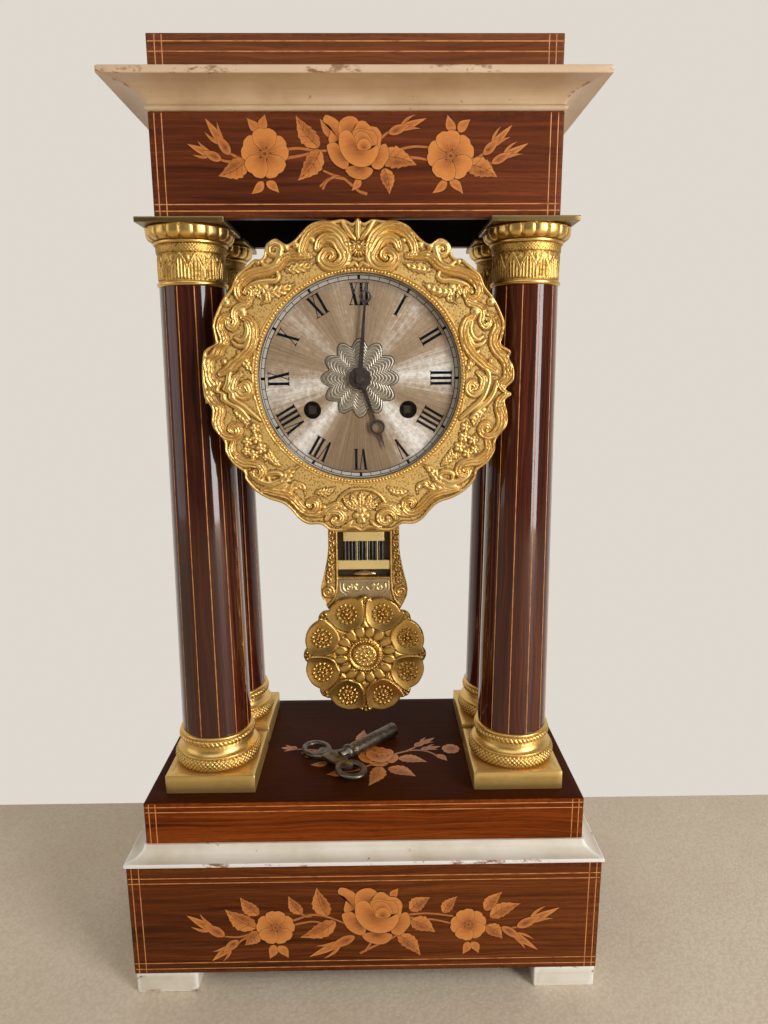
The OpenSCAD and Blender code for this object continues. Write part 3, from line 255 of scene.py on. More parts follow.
def veneer(name, dark, mid, light, upright=False, painted_shade_top=False):
    """Polished veneer; its grain runs along each face, or upright round a column."""
    f = Finish(name)
    x, y, z = f.parts(f.place)
    if upright:
        u = f.less(f.math("ABSOLUTE", x), COLUMN_X * MM)
        v = f.less(f.math("ABSOLUTE", y), COLUMN_Y * MM)
        mean_radius = 17.5 * MM
        along, across = z, f.times(f.math("ARCTAN2", v, u), mean_radius)
        third = f.times(f.plus(x, y), 0.4)
    else:
        faces = f.parts(f.at.outputs["Normal"])
        side, top = (f.math("GREATER_THAN", f.math("ABSOLUTE", faces[k]), 0.6) for k in (0, 2))
        along = f.plus(f.times(y, side), f.times(x, f.less(1.0, side)))
        across = f.plus(f.times(y, top), f.times(z, f.less(1.0, top)))
        third = f.times(along, 0.2)
    grain = f.vector(along, across, third)
    sway = f.noise(9.0, f.stretch((1.0, 3.0, 1.0), grain), detail=2.0)
    bent = f.vector(along, f.plus(across, f.times(sway, 0.012)), third)
    figure = f.noise(1.0, f.stretch((11.0, 640.0, 60.0), bent), detail=4.0, rough=0.6, warp=0.3)
    bands = f.noise(1.0, f.stretch((4.0, 230.0, 20.0), bent), detail=3.0)
    broad = f.noise(1.0, f.stretch((3.0, 20.0, 8.0), bent), detail=1.0)
    pores = f.noise(1.0, f.stretch((110.0, 2600.0, 500.0), bent), detail=2.0)
    level = f.plus(f.times(figure, 0.44), f.times(bands, 0.28))
    level = f.plus(level, f.times(broad, 0.28))
    colour = f.ramp(level, (0.34, dark), (0.5, mid), (0.66, light))
    colour = f.blend(f.span(pores, 0.56, 0.7, 0.0, 0.55), colour, dark)
    colour = f.blend(f.times(f.crest(), f.span(f.noise(300.0), 0.45, 0.65, 0.0, 0.5)), colour, light)
    # Top faces darkened: painted shade on the top.
    if painted_shade_top:
        colour = f.blend(f.times(top, 0.9), colour, dark)
    rough = f.plus(f.span(f.noise(25.0), 0.3, 0.7, 0.26, 0.4), f.span(pores, 0.5, 0.75, 0.0, 0.15))
    sheen, polish = (0.02 if upright or painted_shade_top else 0.1), (1.0 if upright else 0.0)
    return f.surface(Base_Color=colour, Roughness=rough, Normal=f.bump(pores, 0.02 * MM),
                     Specular_IOR_Level=sheen, Coat_Weight=polish, Coat_Roughness=0.06)


def paint(name, dark, mid, light, edge):
    """Old paint with a satin sheen, rubbed through in places, paler along the edges as a painted highlight.
    """
    f = Finish(name)
    cloud = f.noise(24.0, detail=6.0, rough=0.6)
    colour = f.ramp(cloud, (0.3, dark), (0.52, mid), (0.75, light))
    streak = f.noise(1.0, f.stretch((12.0, 12.0, 700.0)), detail=3.0)
    colour = f.blend(f.span(streak, 0.5, 0.75, 0.0, 0.45), colour, dark)
    # Paler along the edges, set by the crest value: a painted highlight.
    colour = f.blend(f.span(f.crest(), 0.4, 1.0, 0.0, 0.85), colour, edge)
    chips = f.noise(90.0, f.stretch((0.4, 0.4, 1.0)), detail=6.0, rough=0.72)
    rubbed = f.times(f.span(f.crest(), 0.3, 0.9), f.span(chips, 0.55, 0.6))
    colour = f.blend(rubbed, colour, tone(138, 96, 62))
    flecks = f.span(f.noise(300.0, detail=4.0), 0.69, 0.74, 0.0, 0.75)
    colour = f.blend(flecks, colour, tone(132, 98, 64))
    relief = f.less(f.noise(260.0, detail=4.0), f.times(rubbed, 0.9))
    return f.surface(Base_Color=colour, Roughness=f.span(cloud, 0.3, 0.7, 0.32, 0.46),
                     Normal=f.bump(relief, 0.06 * MM))


def inlay(name):
    """Fruitwood inlay, scorched towards the dark joints; the crest value gives the shade."""
    f = Finish(name)
    grain = f.noise(1.0, f.stretch((260.0, 900.0, 900.0)), detail=4.0)
    level = f.plus(f.crest(), f.span(grain, 0.3, 0.7, -0.1, 0.1))
    colour = f.ramp(level, (0.0, tone(56, 27, 12)), (0.16, tone(104, 54, 20)), (0.5, tone(170, 97, 38)),
                    (0.95, tone(204, 128, 58)))
    return f.surface(Base_Color=colour, Roughness=f.span(grain, 0.3, 0.7, 0.3, 0.42),
                     Normal=f.bump(grain, 0.015 * MM), Coat_Weight=0.12, Coat_Roughness=0.12)


def stringing(name):
    """Pale line inlay with small breaks of colour."""
    f = Finish(name)
    broken = f.noise(180.0, detail=4.0)
    colour = f.ramp(broken, (0.3, tone(150, 84, 40)), (0.55, tone(206, 134, 72)))
    return f.surface(Base_Color=colour, Roughness=f.span(broken, 0.3, 0.7, 0.3, 0.4))


def silvering(name):
    """Silvered dial, engine turned in rays, with bright and dark sectors painted into its colour as painted
    reflections.
    """
    f = Finish(name)
    x, y, z = f.parts(f.place)
    up = f.less(z, DIAL_Z * MM)
    angle = f.math("ARCTAN2", x, up)
    out = f.math("SQRT", f.plus(f.times(x, x), f.times(up, up)))
    # Brightness of the sectors round the dial: painted reflections, with painted glints in the grain of the
    # bright ones.
    sector_light_stops = ((0.0, 0.1), (0.07, 0.25), (0.117, 0.95), (0.165, 0.35), (0.225, 0.85), (0.3, 0.3),
             (0.365, 0.62), (0.42, 0.25), (0.458, 0.5), (0.525, 0.3), (0.608, 0.62), (0.667, 0.35),
             (0.735, 0.9), (0.815, 0.25), (0.883, 1.0), (0.95, 0.2))
    painted_sectors = f.ramp(f.span(angle, -math.pi, math.pi), *((at, (v, v, v, 1)) for at, v in sector_light_stops))
    ray = f.noise(1.0, f.vector(f.times(angle, 46.0), f.times(out, 20.0), 0.0), detail=3.0)
    glint_grain = f.noise(420.0, detail=4.0, rough=0.7)
    level = f.plus(f.times(painted_sectors, 0.9), f.span(ray, 0.3, 0.7, -0.12, 0.12))
    level = f.plus(level, f.times(painted_sectors, f.span(glint_grain, 0.3, 0.7, -0.22, 0.22)))
    colour = f.ramp(level, (0.05, tone(124, 98, 71)), (0.45, tone(172, 147, 120)),
                    (0.95, tone(250, 243, 236)))
    stain = f.noise(70.0, detail=6.0, rough=0.7)
    colour = f.blend(f.span(stain, 0.52, 0.8, 0.0, 0.55), colour, tone(124, 98, 71))
    rough = f.plus(f.span(level, 0.2, 0.8, 0.42, 0.34), f.span(stain, 0.3, 0.7, -0.03, 0.05))
    lines = f.noise(1.0, f.vector(f.times(angle, 150.0), f.times(out, 60.0), 0.0), detail=2.0)
    return f.surface(Base_Color=colour, Metallic=0.08, Roughness=rough, Normal=f.bump(lines, 0.03 * MM))


def flat_black(name, shade, wear_highlight_band, roughness, scale=400.0):
    """Black paint or filling with small worn specks."""
    f = Finish(name)
    speck = f.noise(scale, detail=5.0, rough=0.7)
    colour = f.blend(f.span(speck, 0.55, 0.75, 0.0, 0.7), shade, wear_highlight_band)
    rough = f.span(speck, 0.3, 0.7, roughness - 0.06, roughness + 0.08)
    return f.surface(Base_Color=colour, Roughness=rough, Normal=f.bump(speck, 0.03 * MM),
                     Specular_IOR_Level=0.0)


def clear_glass(name):
    """Thin clear glass: see-through, with reflections that grow towards the rim."""
    f = Finish(name)
    smear = f.noise(40.0, detail=5.0)
    gloss = f.add("ShaderNodeBsdfGlossy", {"Roughness": f.span(smear, 0.3, 0.7, 0.02, 0.06)})
    clear = f.add("ShaderNodeBsdfTransparent", {"Color": (0.985, 0.99, 0.985, 1)})
    slant = f.add("ShaderNodeLayerWeight", {"Blend": 0.5}).outputs["Facing"]
    edge = f.plus(f.times(f.math("POWER", slant, 3.5), 0.9), 0.02)
    share = f.times(edge, f.span(smear, 0.3, 0.7, 0.45, 0.6))
    mixed = f.add("ShaderNodeMixShader", {0: share, 1: clear.outputs[0], 2: gloss.outputs[0]})
    f.add("ShaderNodeOutputMaterial", {"Surface": mixed.outputs[0]})
    return f.material


FINISH = {
    "painted_moulding": paint("painted_moulding", tone(196, 182, 158), tone(216, 206, 188),
                              tone(226, 219, 207), tone(232, 227, 218)),
    "rosewood_veneer": veneer("rosewood_veneer", tone(64, 29, 14), tone(97, 47, 24), tone(126, 64, 34)),
    "column_rosewood": veneer("column_rosewood", tone(30, 11, 6), tone(66, 26, 13), tone(104, 48, 27), True),
    "ebonised_wood": flat_black("ebonised_wood", tone(22, 20, 14), tone(36, 32, 24), 0.6, 60.0),
    "gilt_bronze": gilding("gilt_bronze", (0.80, 0.52, 0.17, 1), (0.58, 0.345, 0.09, 1),
                           (0.20, 0.105, 0.022, 1)),
    "plain_brass": brass("plain_brass", (0.74, 0.50, 0.17, 1), (0.46, 0.29, 0.075, 1), 0.38, 0.8),
    "movement_brass": brass("movement_brass", (0.83, 0.62, 0.29, 1), (0.66, 0.46, 0.18, 1), 0.3),
    "bell_bronze": brass("bell_bronze", (0.72, 0.50, 0.26, 1), (0.45, 0.28, 0.12, 1), 0.28),
    "silvered_dial": silvering("silvered_dial"),
    "blued_steel": metal("blued_steel", (0.17, 0.13, 0.12, 1), (0.075, 0.058, 0.052, 1), 0.42),
    "steel": metal("steel", (0.50, 0.49, 0.47, 1), (0.30, 0.29, 0.28, 1), 0.36),
    "clear_glass": clear_glass("clear_glass"),
    "key_iron": metal("key_iron", (0.26, 0.22, 0.18, 1), (0.07, 0.052, 0.038, 1), 0.4, 260.0),
}
# The cornice's paint is the moulding paint made darker and more tan: painted shade on the cornice.
SHADED_CORNICE_PAINT = paint("shaded_cornice_paint", tone(186, 152, 116), tone(208, 178, 142), tone(220, 194, 162),
                      tone(206, 176, 146))
# Base, platform and attic below, with the frieze's rosewood veneer, are one wood in four tones: partly the
# wood's own hue, partly painted light and shade on each face.
BASE_VENEER = veneer("base_veneer", tone(52, 22, 6), tone(92, 43, 14), tone(126, 68, 27))
PLATFORM_VENEER = veneer("platform_veneer", tone(50, 22, 9), tone(114, 51, 15), tone(144, 71, 25),
                         painted_shade_top=True)
ATTIC_VENEER = veneer("attic_veneer", tone(70, 35, 17), tone(102, 55, 29), tone(128, 74, 42))
INLAY = inlay("fruitwood_inlay")
LINE = stringing("line_inlay")
BLACK = flat_black("numeral_black", tone(20, 24, 30), tone(64, 62, 60), 0.4)
BEZEL_GILDING = gilding("bezel_gilding", (0.84, 0.56, 0.20, 1), (0.62, 0.38, 0.105, 1),
                        (0.15, 0.072, 0.013, 1), 0.11, 0.44, 0.4)
POLISHED = brass("polished_gilding", (0.95, 0.66, 0.24, 1), (0.78, 0.49, 0.14, 1), 0.26)
PALE_BRASS = brass("pale_brass", (0.93, 0.72, 0.30, 1), (0.80, 0.58, 0.21, 1), 0.32, 0.4)
DARK_STEEL = metal("dark_steel", (0.16, 0.155, 0.15, 1), (0.05, 0.048, 0.045, 1), 0.32)
SILVER_PAINTED_LIGHT = brass("silver_painted_light", (0.66, 0.60, 0.54, 1), (0.44, 0.39, 0.33, 1), 0.4, 0.1)
BOB_GILDING = gilding("bob_gilding", (0.80, 0.52, 0.17, 1), (0.52, 0.30, 0.075, 1), (0.15, 0.075, 0.016, 1),
                      0.04, 0.3)
# Nearly black metal for the plate behind the pendulum window: painted shade.
WINDOW_SHADE_METAL = metal("window_painted_shade", (0.10, 0.075, 0.05, 1), (0.05, 0.035, 0.025, 1), 0.45)
ROSETTE = gilding("silvered_rosette", (0.66, 0.58, 0.47, 1), (0.42, 0.35, 0.27, 1), (0.08, 0.06, 0.045, 1),
                  0.0)
# Dull brass for the abaci, made very dark as painted shade under the frieze.
DULL_SHADED_BRASS = brass("dull_shaded_brass", (0.28, 0.19, 0.08, 1), (0.11, 0.075, 0.03, 1), 0.4)
DULL_PLATE = gilding("dull_plate", (0.95, 0.72, 0.34, 1), (0.58, 0.45, 0.26, 1), (0.40, 0.31, 0.18, 1), 0.02)


# Shapes

class Shape:
    """Points in mm, their faces, and a value at each point that the finish reads."""

    def __init__(self, points, faces, crest=0.0):
        self.points = np.asarray(points, float).reshape(-1, 3)
        self.faces = [np.asarray(f, int) for f in faces]
        self.crest = np.broadcast_to(np.asarray(crest, float).ravel(), len(self.points)).copy()

    def moved(self, x=0.0, y=0.0, z=0.0):
        return Shape(self.points + (x, y, z), self.faces, self.crest)

    def turned(self, degrees):
        a = math.radians(degrees)
        spin = np.array([[math.cos(a), math.sin(a), 0], [-math.sin(a), math.cos(a), 0], [0, 0, 1]])
        return Shape(self.points @ spin, self.faces, self.crest)

    def facing(self):
        """A shape built lying down, x right and y up, stood up to face the viewer."""
        x, y, z = self.points.T
        return Shape(np.column_stack([x, -z, y]), self.faces, self.crest)


def joined(shapes):
    start, points, faces, crest = 0, [], [], []
    for s in shapes:
        points.append(s.points)
        crest.append(s.crest)
        faces += [f + start for f in s.faces]
        start += len(s.points)
    return Shape(np.concatenate(points), faces, np.concatenate(crest))


def angles(steps):
    """Even steps once round, in radians."""
    return np.arange(steps) * TAU / steps


def level_ring(r, z, a):
    """Points at the angles a round the Z axis."""
    return np.column_stack([r * np.cos(a), r * np.sin(a), np.full(len(a), z)])


def dial_ring(r, y, a):
    """Points at the angles a round the middle of the dial, clockwise from the top."""
    return np.column_stack([r * np.sin(a), np.broadcast_to(y, a.shape), DIAL_Z + r * np.cos(a)])


def grid_faces(rows, cols, wrap=False, loop=False):
    """Faces of points laid row by row; wrap joins the row ends, loop the last row to the first."""
    c = np.arange(cols if wrap else cols - 1)
    r = np.arange(rows if loop else rows - 1)[:, None]
    n, up = (c + 1) % cols, ((r + 1) % rows) * cols
    return np.stack([r * cols + c, r * cols + n, up + n, up + c], -1).reshape(-1, 4)


def lofted(rings, crest=0.0, loop=False):
    """A skin over closed rings of points, capped at both ends or joined into a loop."""
    rows, cols = len(rings), len(rings[0])
    faces = [grid_faces(rows, cols, True, loop)]
    if not loop:
        faces += [np.arange(cols)[None, ::-1], (np.arange(cols) + (rows - 1) * cols)[None]]
    crest = np.asarray(crest, float)
    if crest.ndim == 1 and len(crest) == rows:
        crest = np.repeat(crest[:, None], cols, 1)
    return Shape(np.concatenate(rings), faces, crest)


def turned_shape(profile, steps=96, crest=0.0, loop=False):
    """A profile of radius and height turned about Z."""
    a = angles(steps)
    return lofted([level_ring(r, z, a) for r, z in profile], crest, loop)


def side_steps(length, pitch):
    """Places along a side from 0 to 1, with one close to each end for the corners' wear and, on paint, their
    painted highlight.
    """
    near = min(3.0 / length, 0.3)
    inner = np.linspace(near, 1 - near, max(2, round(length / pitch)))
    return np.concatenate([[0], inner, [1]])[:, None]


def rect_ring(half_x, half_y, z, corner, steps_x, steps_y):
    """Points round a rectangle with softened corners, and a mask of the corner points."""
    bend = 3
    cx, cy = half_x - corner, half_y - corner
    sides = [((-cx, -half_y), (cx, -half_y), steps_x, (cx, -cy)),
             ((half_x, -cy), (half_x, cy), steps_y, (cx, cy)),
             ((cx, half_y), (-cx, half_y), steps_x, (-cx, cy)),
             ((-half_x, cy), (-half_x, -cy), steps_y, (-cx, -cy))]
    points, edge = [], []
    for k, (a, b, t, centre) in enumerate(sides):
        points.append(np.array(a) * (1 - t) + np.array(b) * t)
        edge.append(np.where((t[:, 0] == 0) | (t[:, 0] == 1), 1.0, 0.0))
        turn = np.radians(-90 + 90 * k + 90 * np.arange(1, bend) / bend)
        points.append(np.array(centre) + corner * np.stack([np.cos(turn), np.sin(turn)], -1))
        edge.append(np.ones(bend - 1))
    flat = np.concatenate(points)
    return np.column_stack([flat, np.full(len(flat), z)]), np.concatenate(edge)


def rect_loft(rings, corner=0.5, pitch=8.0, loop=False):
    """A skin over rectangles given as half width, half depth, height and an edge value: wear, and on paint a
    painted highlight.
    """
    steps_x, steps_y = (side_steps(2 * max(r[k] for r in rings), pitch) for k in (0, 1))
    made = [rect_ring(hx, hy, z, min(corner, hx / 2, hy / 2), steps_x, steps_y) for hx, hy, z, w in rings]
    crest = np.concatenate([np.maximum(edge, r[3]) for (ring, edge), r in zip(made, rings)])
    return lofted([ring for ring, edge in made], crest, loop)


def soft_box_rings(hx, hy, z0, z1, soft):
    """Rectangles of a box with softened edges; the edges carry the wear, and on paint a painted highlight."""
    wear_highlight_band = min(WEAR_AND_HIGHLIGHT_REACH, 0.4 * min(hx, hy), (z1 - z0) / 3)
    soft = min(soft, wear_highlight_band / 2)
    lip = [(wear_highlight_band, 0, 0.0), (soft, 0, 0.8), (soft * 0.3, soft * 0.3, 1.0), (0, soft, 0.8), (0, wear_highlight_band, 0.0)]
    low = [(hx - a, hy - a, z0 + b, w) for a, b, w in lip]
    return low + [(hx - a, hy - a, z1 - b, w) for a, b, w in reversed(lip)]


def soft_box(lo, hi, soft, pitch=8.0):
    lo, hi = np.asarray(lo, float), np.asarray(hi, float)
    mid, half = (lo + hi) / 2, (hi - lo) / 2
    rings = soft_box_rings(half[0], half[1], lo[2], hi[2], soft)
    return rect_loft(rings, soft, pitch).moved(mid[0], mid[1])


def open_box(node, wall, lid):
    """A box of boards that is open below, with softened edges outside."""
    lo, hi = box_mm(node)
    inside = hi[:2] - wall
    rings = [(*inside, hi[2] - lid, 0), (*inside, lo[2], 0)]
    rings += soft_box_rings(hi[0], hi[1], lo[2], hi[2], SOFT_EDGE)[1:]
    return rect_loft(rings, SOFT_EDGE)


def smooth_path(points, step=0.5, closed=False):
    """Points about step apart on a smooth curve through the given ones."""
    p = np.asarray(points, float)
    if closed:
        p = np.concatenate([p[-1:], p, p[:2]])
    else:
        p = np.concatenate([2 * p[:1] - p[1:2], p, 2 * p[-1:] - p[-2:-1]])
    out = []
    for a, b, c, d in zip(p, p[1:], p[2:], p[3:]):
        n = max(2, int(np.linalg.norm(c - b) / step))
        t = (np.arange(n) / n)[:, None]
        square, cube = 2 * a - 5 * b + 4 * c - d, 3 * b - a - 3 * c + d
        out.append(0.5 * (2 * b + (c - a) * t + square * t ** 2 + cube * t ** 3))
    if not closed:
        out.append(p[-2:-1])
    return np.concatenate(out)


class Relief:
    """Heights over a flat field of points, raised stroke by stroke as a chaser would."""

    def __init__(self, x, y):
        self.shape = x.shape
        self.x, self.y = x.ravel(), y.ravel()
        self.h = np.zeros(self.x.shape)
        # foot holds the band of painted shade round the foot of each raised form
        self.foot = np.zeros(self.x.shape)

    def paint_shade_band(self, pick, gap):
        """Marks the narrow band of painted shade round a raised form; gap is the distance from its edge."""
        self.foot[pick] = np.maximum(self.foot[pick], np.clip(1 - np.abs(gap - 0.15) / 0.75, 0, 1))

    def near(self, path, reach):
        lo, hi = path.min(0) - reach, path.max(0) + reach
        return np.flatnonzero((self.x > lo[0]) & (self.x < hi[0]) & (self.y > lo[1]) & (self.y < hi[1]))

    def along(self, path, reach):
        """For each near point: its index, its distance and its share of the way."""
        pick = self.near(path, reach)
        at = np.column_stack([self.x[pick], self.y[pick]])
        gap = ((at[:, None, :] - path[None]) ** 2).sum(-1)
        i = gap.argmin(1)
        return pick, np.sqrt(gap[np.arange(len(i)), i]), i / (len(path) - 1)

    def raise_to(self, pick, height):
        self.h[pick] = np.maximum(self.h[pick], height)

    def stroke(self, points, width, lift, taper=0.45, flute=0.0):
        """A raised strap, fluted along its length where flute is more than 0."""
        path = smooth_path(points)
        pick, far, t = self.along(path, width + 1.0)
        end = np.abs(2 * t - 1) ** 3
        reach = width * (1 - taper * end)
        u = np.clip(far / reach, 0, 1)
        self.paint_shade_band(pick, far - reach)
        form = (1 - u ** 4) * (1 - flute + flute * np.cos(1.5 * TAU * u)) if flute else np.sqrt(1 - u * u)
        self.raise_to(pick, lift * (1 - 0.3 * end) * form)

    def leaf(self, points, width, lift, veins=5):
        path = smooth_path(points)
        pick, far, t = self.along(path, width + 1.0)
        lobes = 1 + 0.16 * np.cos(TAU * veins * t)
        w = width * np.sin(np.pi * np.clip(t, 0.03, 0.97) ** 0.7) ** 0.75 * lobes
        u = np.clip(far / w, 0, 1)
        self.paint_shade_band(pick, far - w)
        chased = 0.2 * np.cos(TAU * (veins * t - u))
        form = (1 - u ** 2) ** 0.5 * (0.8 - 0.42 * np.exp(-(far / 0.4) ** 2) + chased)
        self.raise_to(pick, lift * np.where(u < 1, form, 0))

    def knob(self, x, y, r, lift):
        far = np.hypot(self.x - x, self.y - y)
        self.paint_shade_band(slice(None), far - r)
        self.h = np.maximum(self.h, lift * np.sqrt(np.clip(1 - (far / r) ** 2, 0, 1)))

    def beads(self, x, y, count, far, size, lift, start=0.0, shift=0.0):
        """A ring of knobs about a place."""
        for m in range(count):
            turn = start + (m + shift) * TAU / count
            self.knob(x + far * math.cos(turn), y + far * math.sin(turn), size, lift)

    def floret(self, x, y, r, lift):
        petals = 5
        far = np.hypot(self.x - x, self.y - y)
        lobe = np.abs(np.cos(np.arctan2(self.y - y, self.x - x) * petals / 2))
        reach = r * (0.55 + 0.45 * lobe ** 0.6)
        u = far / reach
        self.paint_shade_band(slice(None), far - reach)
        dish = np.clip(1 - u ** 4, 0, 1) ** 0.5 * (0.55 + 0.45 * np.clip(far / r, 0, 1))
        dish = dish * (0.65 + 0.35 * lobe)
        knob = 0.9 * np.sqrt(np.clip(1 - (far / (0.3 * r)) ** 2, 0, 1))
        self.h = np.maximum(self.h, lift * np.where(u < 1, np.maximum(dish, knob), 0))

    def heights(self):
        return self.h.reshape(self.shape)


# Pieces

def finished(name, mesh, body, finish, replaced=(), sharp=38):
    """Dresses a mesh and sets it on its body; sharp is the angle from which an edge stays crisp."""
    mesh.materials.clear()
    mesh.materials.append(finish)
    mesh.shade_smooth()
    mesh.set_sharp_from_angle(angle=math.radians(sharp))
    made = bpy.data.objects.new(name, mesh)
    scene.collection.objects.link(made)
    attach(made, body)
    if replaced:
        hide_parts(*replaced)


def piece(name, body, shape, finish, slot, *replaced, sharp=38):
    """Makes a closed mesh of a shape, with its faces outwards, and sets it on its body."""
    mesh = bpy.data.meshes.new(name)
    mesh.from_pydata((shape.points * MM).tolist(), [], [q for f in shape.faces for q in f.tolist()])
    mesh.attributes.new("crest", "FLOAT", "POINT").data.foreach_set("value", shape.crest.astype(np.float32))
    skin = bmesh.new()
    skin.from_mesh(mesh)
    bmesh.ops.remove_doubles(skin, verts=skin.verts, dist=1e-6)
    bmesh.ops.recalc_face_normals(skin, faces=skin.faces)
    skin.to_mesh(mesh)
    skin.free()
    finished(name, mesh, body, finish, replaced, sharp)


class Grower:
    """A geometry node tree under construction, with named inputs and one material."""

    def __init__(self, name, inputs):
        self.tree = bpy.data.node_groups.new(name, "GeometryNodeTree")
        face = self.tree.interface
        face.new_socket("Geometry", in_out="INPUT", socket_type="NodeSocketGeometry")
        self.ids = {label: face.new_socket(label, in_out="INPUT", socket_type="NodeSocket" + kind).identifier
                    for label, kind in inputs}
        face.new_socket("Geometry", in_out="OUTPUT", socket_type="NodeSocketGeometry")
        self.given = self.tree.nodes.new("NodeGroupInput").outputs

    def add(self, kind, inputs=(), **settings):
        return add_node(self.tree, kind, inputs, **settings).outputs[0]

    def end(self, geometry):
        solid = self.add("GeometryNodeRealizeInstances", {0: geometry})
        dressed = self.add("GeometryNodeSetMaterial", {"Geometry": solid, "Material": self.given["Finish"]})
        self.tree.links.new(dressed, self.tree.nodes.new("NodeGroupOutput").inputs[0])
        return self

    def grow(self, name, source, values, body, finish, slot, sharp=38):
        """Runs the tree on an object and keeps the result as a plain mesh on a body."""
        step = source.modifiers.new("grow", "NODES")
        step.node_group = self.tree
        step[self.ids["Finish"]] = finish
        for label, value in values.items():
            step[self.ids[label]] = value
        graph = bpy.context.evaluated_depsgraph_get()
        mesh = bpy.data.meshes.new_from_object(source.evaluated_get(graph))
        source.modifiers.remove(step)
        bpy.data.objects.remove(source)
        finished(name, mesh, body, finish, sharp=sharp)


def line_tree():
    g = Grower("laid_lines", [("Radius", "Float"), ("Finish", "Material")])
    ring = g.add("GeometryNodeCurvePrimitiveCircle", {"Resolution": 8, "Radius": g.given["Radius"]})
    return g.end(g.add("GeometryNodeCurveToMesh", {"Curve": g.given["Geometry"], "Profile Curve": ring,
                                                   "Fill Caps": True}))


def bead_tree():
    g = Grower("strung_beads", [("Count", "Int"), ("Radius", "Float"), ("Finish", "Material")])
    spots = g.add("GeometryNodeCurveToPoints", {"Curve": g.given["Geometry"], "Count": g.given["Count"]},
                  mode="COUNT")
    bead = g.add("GeometryNodeMeshUVSphere", {"Segments": 8, "Rings": 5, "Radius": g.given["Radius"]})
    return g.end(g.add("GeometryNodeInstanceOnPoints", {"Points": spots, "Instance": bead}))


def mark_tree():
    g = Grower("ring_of_marks", [("Count", "Int"), ("Radius", "Float"), ("Size", "Vector"),
                                 ("Place", "Vector"), ("Finish", "Material")])
    spots = g.add("GeometryNodeMeshCircle", {"Vertices": g.given["Count"], "Radius": g.given["Radius"]})
    turn = g.add("ShaderNodeMath", {0: TAU, 1: g.given["Count"]}, operation="DIVIDE")
    turn = g.add("ShaderNodeMath", {0: g.add("GeometryNodeInputIndex"), 1: turn}, operation="MULTIPLY")
    turn = g.add("ShaderNodeCombineXYZ", {2: turn})
    mark = g.add("GeometryNodeMeshCube", {"Size": g.given["Size"]})
    ring = g.add("GeometryNodeInstanceOnPoints", {"Points": spots, "Instance": mark, "Rotation": turn})
    stand = {"Geometry": ring, "Translation": g.given["Place"], "Rotation": (math.pi / 2, 0, 0)}
    return g.end(g.add("GeometryNodeTransform", stand))


LINES, BEADS, MARKS = line_tree(), bead_tree(), mark_tree()


def curves(paths, closed=False):
    """A curve object with one straight-jointed run for each path in mm."""
    data = bpy.data.curves.new("runs", "CURVE")
    data.dimensions = "3D"
    for path in paths:
        run = data.splines.new("POLY")
        run.points.add(len(path) - 1)
        flat = np.column_stack([np.asarray(path, float) * MM, np.ones(len(path))])
        run.points.foreach_set("co", flat.ravel())
        run.use_cyclic_u = closed
    made = bpy.data.objects.new("runs", data)
    scene.collection.objects.link(made)
    return made


# Case: feet, base, mouldings, platform, entablature

def make_feet():
    lo, hi = box_mm("feet")
    width, soft = 33.0, 0.8
    shapes = [soft_box((x, y, 0), (x + width, y + width, hi[2]), soft, pitch=3.0)
              for x in (lo[0], hi[0] - width) for y in (lo[1], hi[1] - width)]
    piece("painted_feet", "case", joined(shapes), FINISH["painted_moulding"], "painted_moulding", "feet")


def moulding(name, node, inner, outline, finish):
    """A painted moulding lofted round the case; the outline gives reach, height and an edge value for wear
    and painted highlight.
    """
    rings = [(inner[0] + a, inner[1] + a, z, w) for a, z, w in outline]
    piece(name, "case", rect_loft(rings, 0.35, 3.0, loop=True), finish, "painted_moulding", node)


def hollow(a, b):
    """A cove from a, where it is upright, to b, where it is level."""
    steps = 10
    t = np.radians(90 * np.arange(steps + 1) / steps)
    return [(b[0] - (b[0] - a[0]) * math.cos(k), a[1] + (b[1] - a[1]) * math.sin(k)) for k in t]


def make_mouldings():
    board = box_mm("platform")[1]
    lo, hi = box_mm("base_moulding")
    out, z0, z1 = hi[0] - board[0], lo[2], hi[2]
    outline = [(0.02, z0, 0), (out - 0.4, z0, 0.3), (out, z0 + 0.4, 0.9), (out, z0 + 1.7, 1.0),
               (out - 0.4, z0 + 2.1, 1.0)]
    outline += [(a, z, 0.15) for a, z in reversed(hollow((1.0, z1), (out - 1.2, z0 + 2.1)))]
    outline += [(0.02, z1, 0.5)]
    moulding("base_moulding_paint", "base_moulding", board, outline, FINISH["painted_moulding"])
    board = box_mm("attic_block")[1]
    lo, hi = box_mm("cornice_moulding")
    out, z0, z1 = hi[0] - board[0], lo[2], hi[2]
    foot = 1.0
    bead = [(foot + 1.3 * math.cos(t), z0 + 1.3 + 1.3 * math.sin(t), 0.2)
            for t in np.radians(range(-60, 91, 30))]
    outline = [(0.02, z0, 0), (foot, z0, 0)] + bead
    outline += [(a, z, 0.1) for a, z in hollow((foot + 0.4, z0 + 2.6), (out - 1.2, z1 - 3.4))]
    outline += [(out - 0.3, z1 - 3.4, 0.6), (out, z1 - 3.1, 1.0), (out, z1 - 0.6, 0.8), (out - 0.6, z1, 1.0),
                (out - 3, z1, 0.1), (0.02, z1, 0)]
    moulding("cornice_moulding_paint", "cornice_moulding", board, outline, SHADED_CORNICE_PAINT)


def make_veneered_boards():
    for name, node, shape, finish in (
            ("base_box_veneer", "base_box", open_box("base_box", 10.0, 10.0), BASE_VENEER),
            ("platform_board", "platform", soft_box(*box_mm("platform"), SOFT_EDGE), PLATFORM_VENEER),
            ("attic_board", "attic_block", soft_box(*box_mm("attic_block"), SOFT_EDGE), ATTIC_VENEER),
            ("frieze_veneer", "frieze_box", open_box("frieze_box", 5.9, 2.0), FINISH["rosewood_veneer"])):
        piece(name, "case", shape, finish, "rosewood_veneer", node)


# Columns

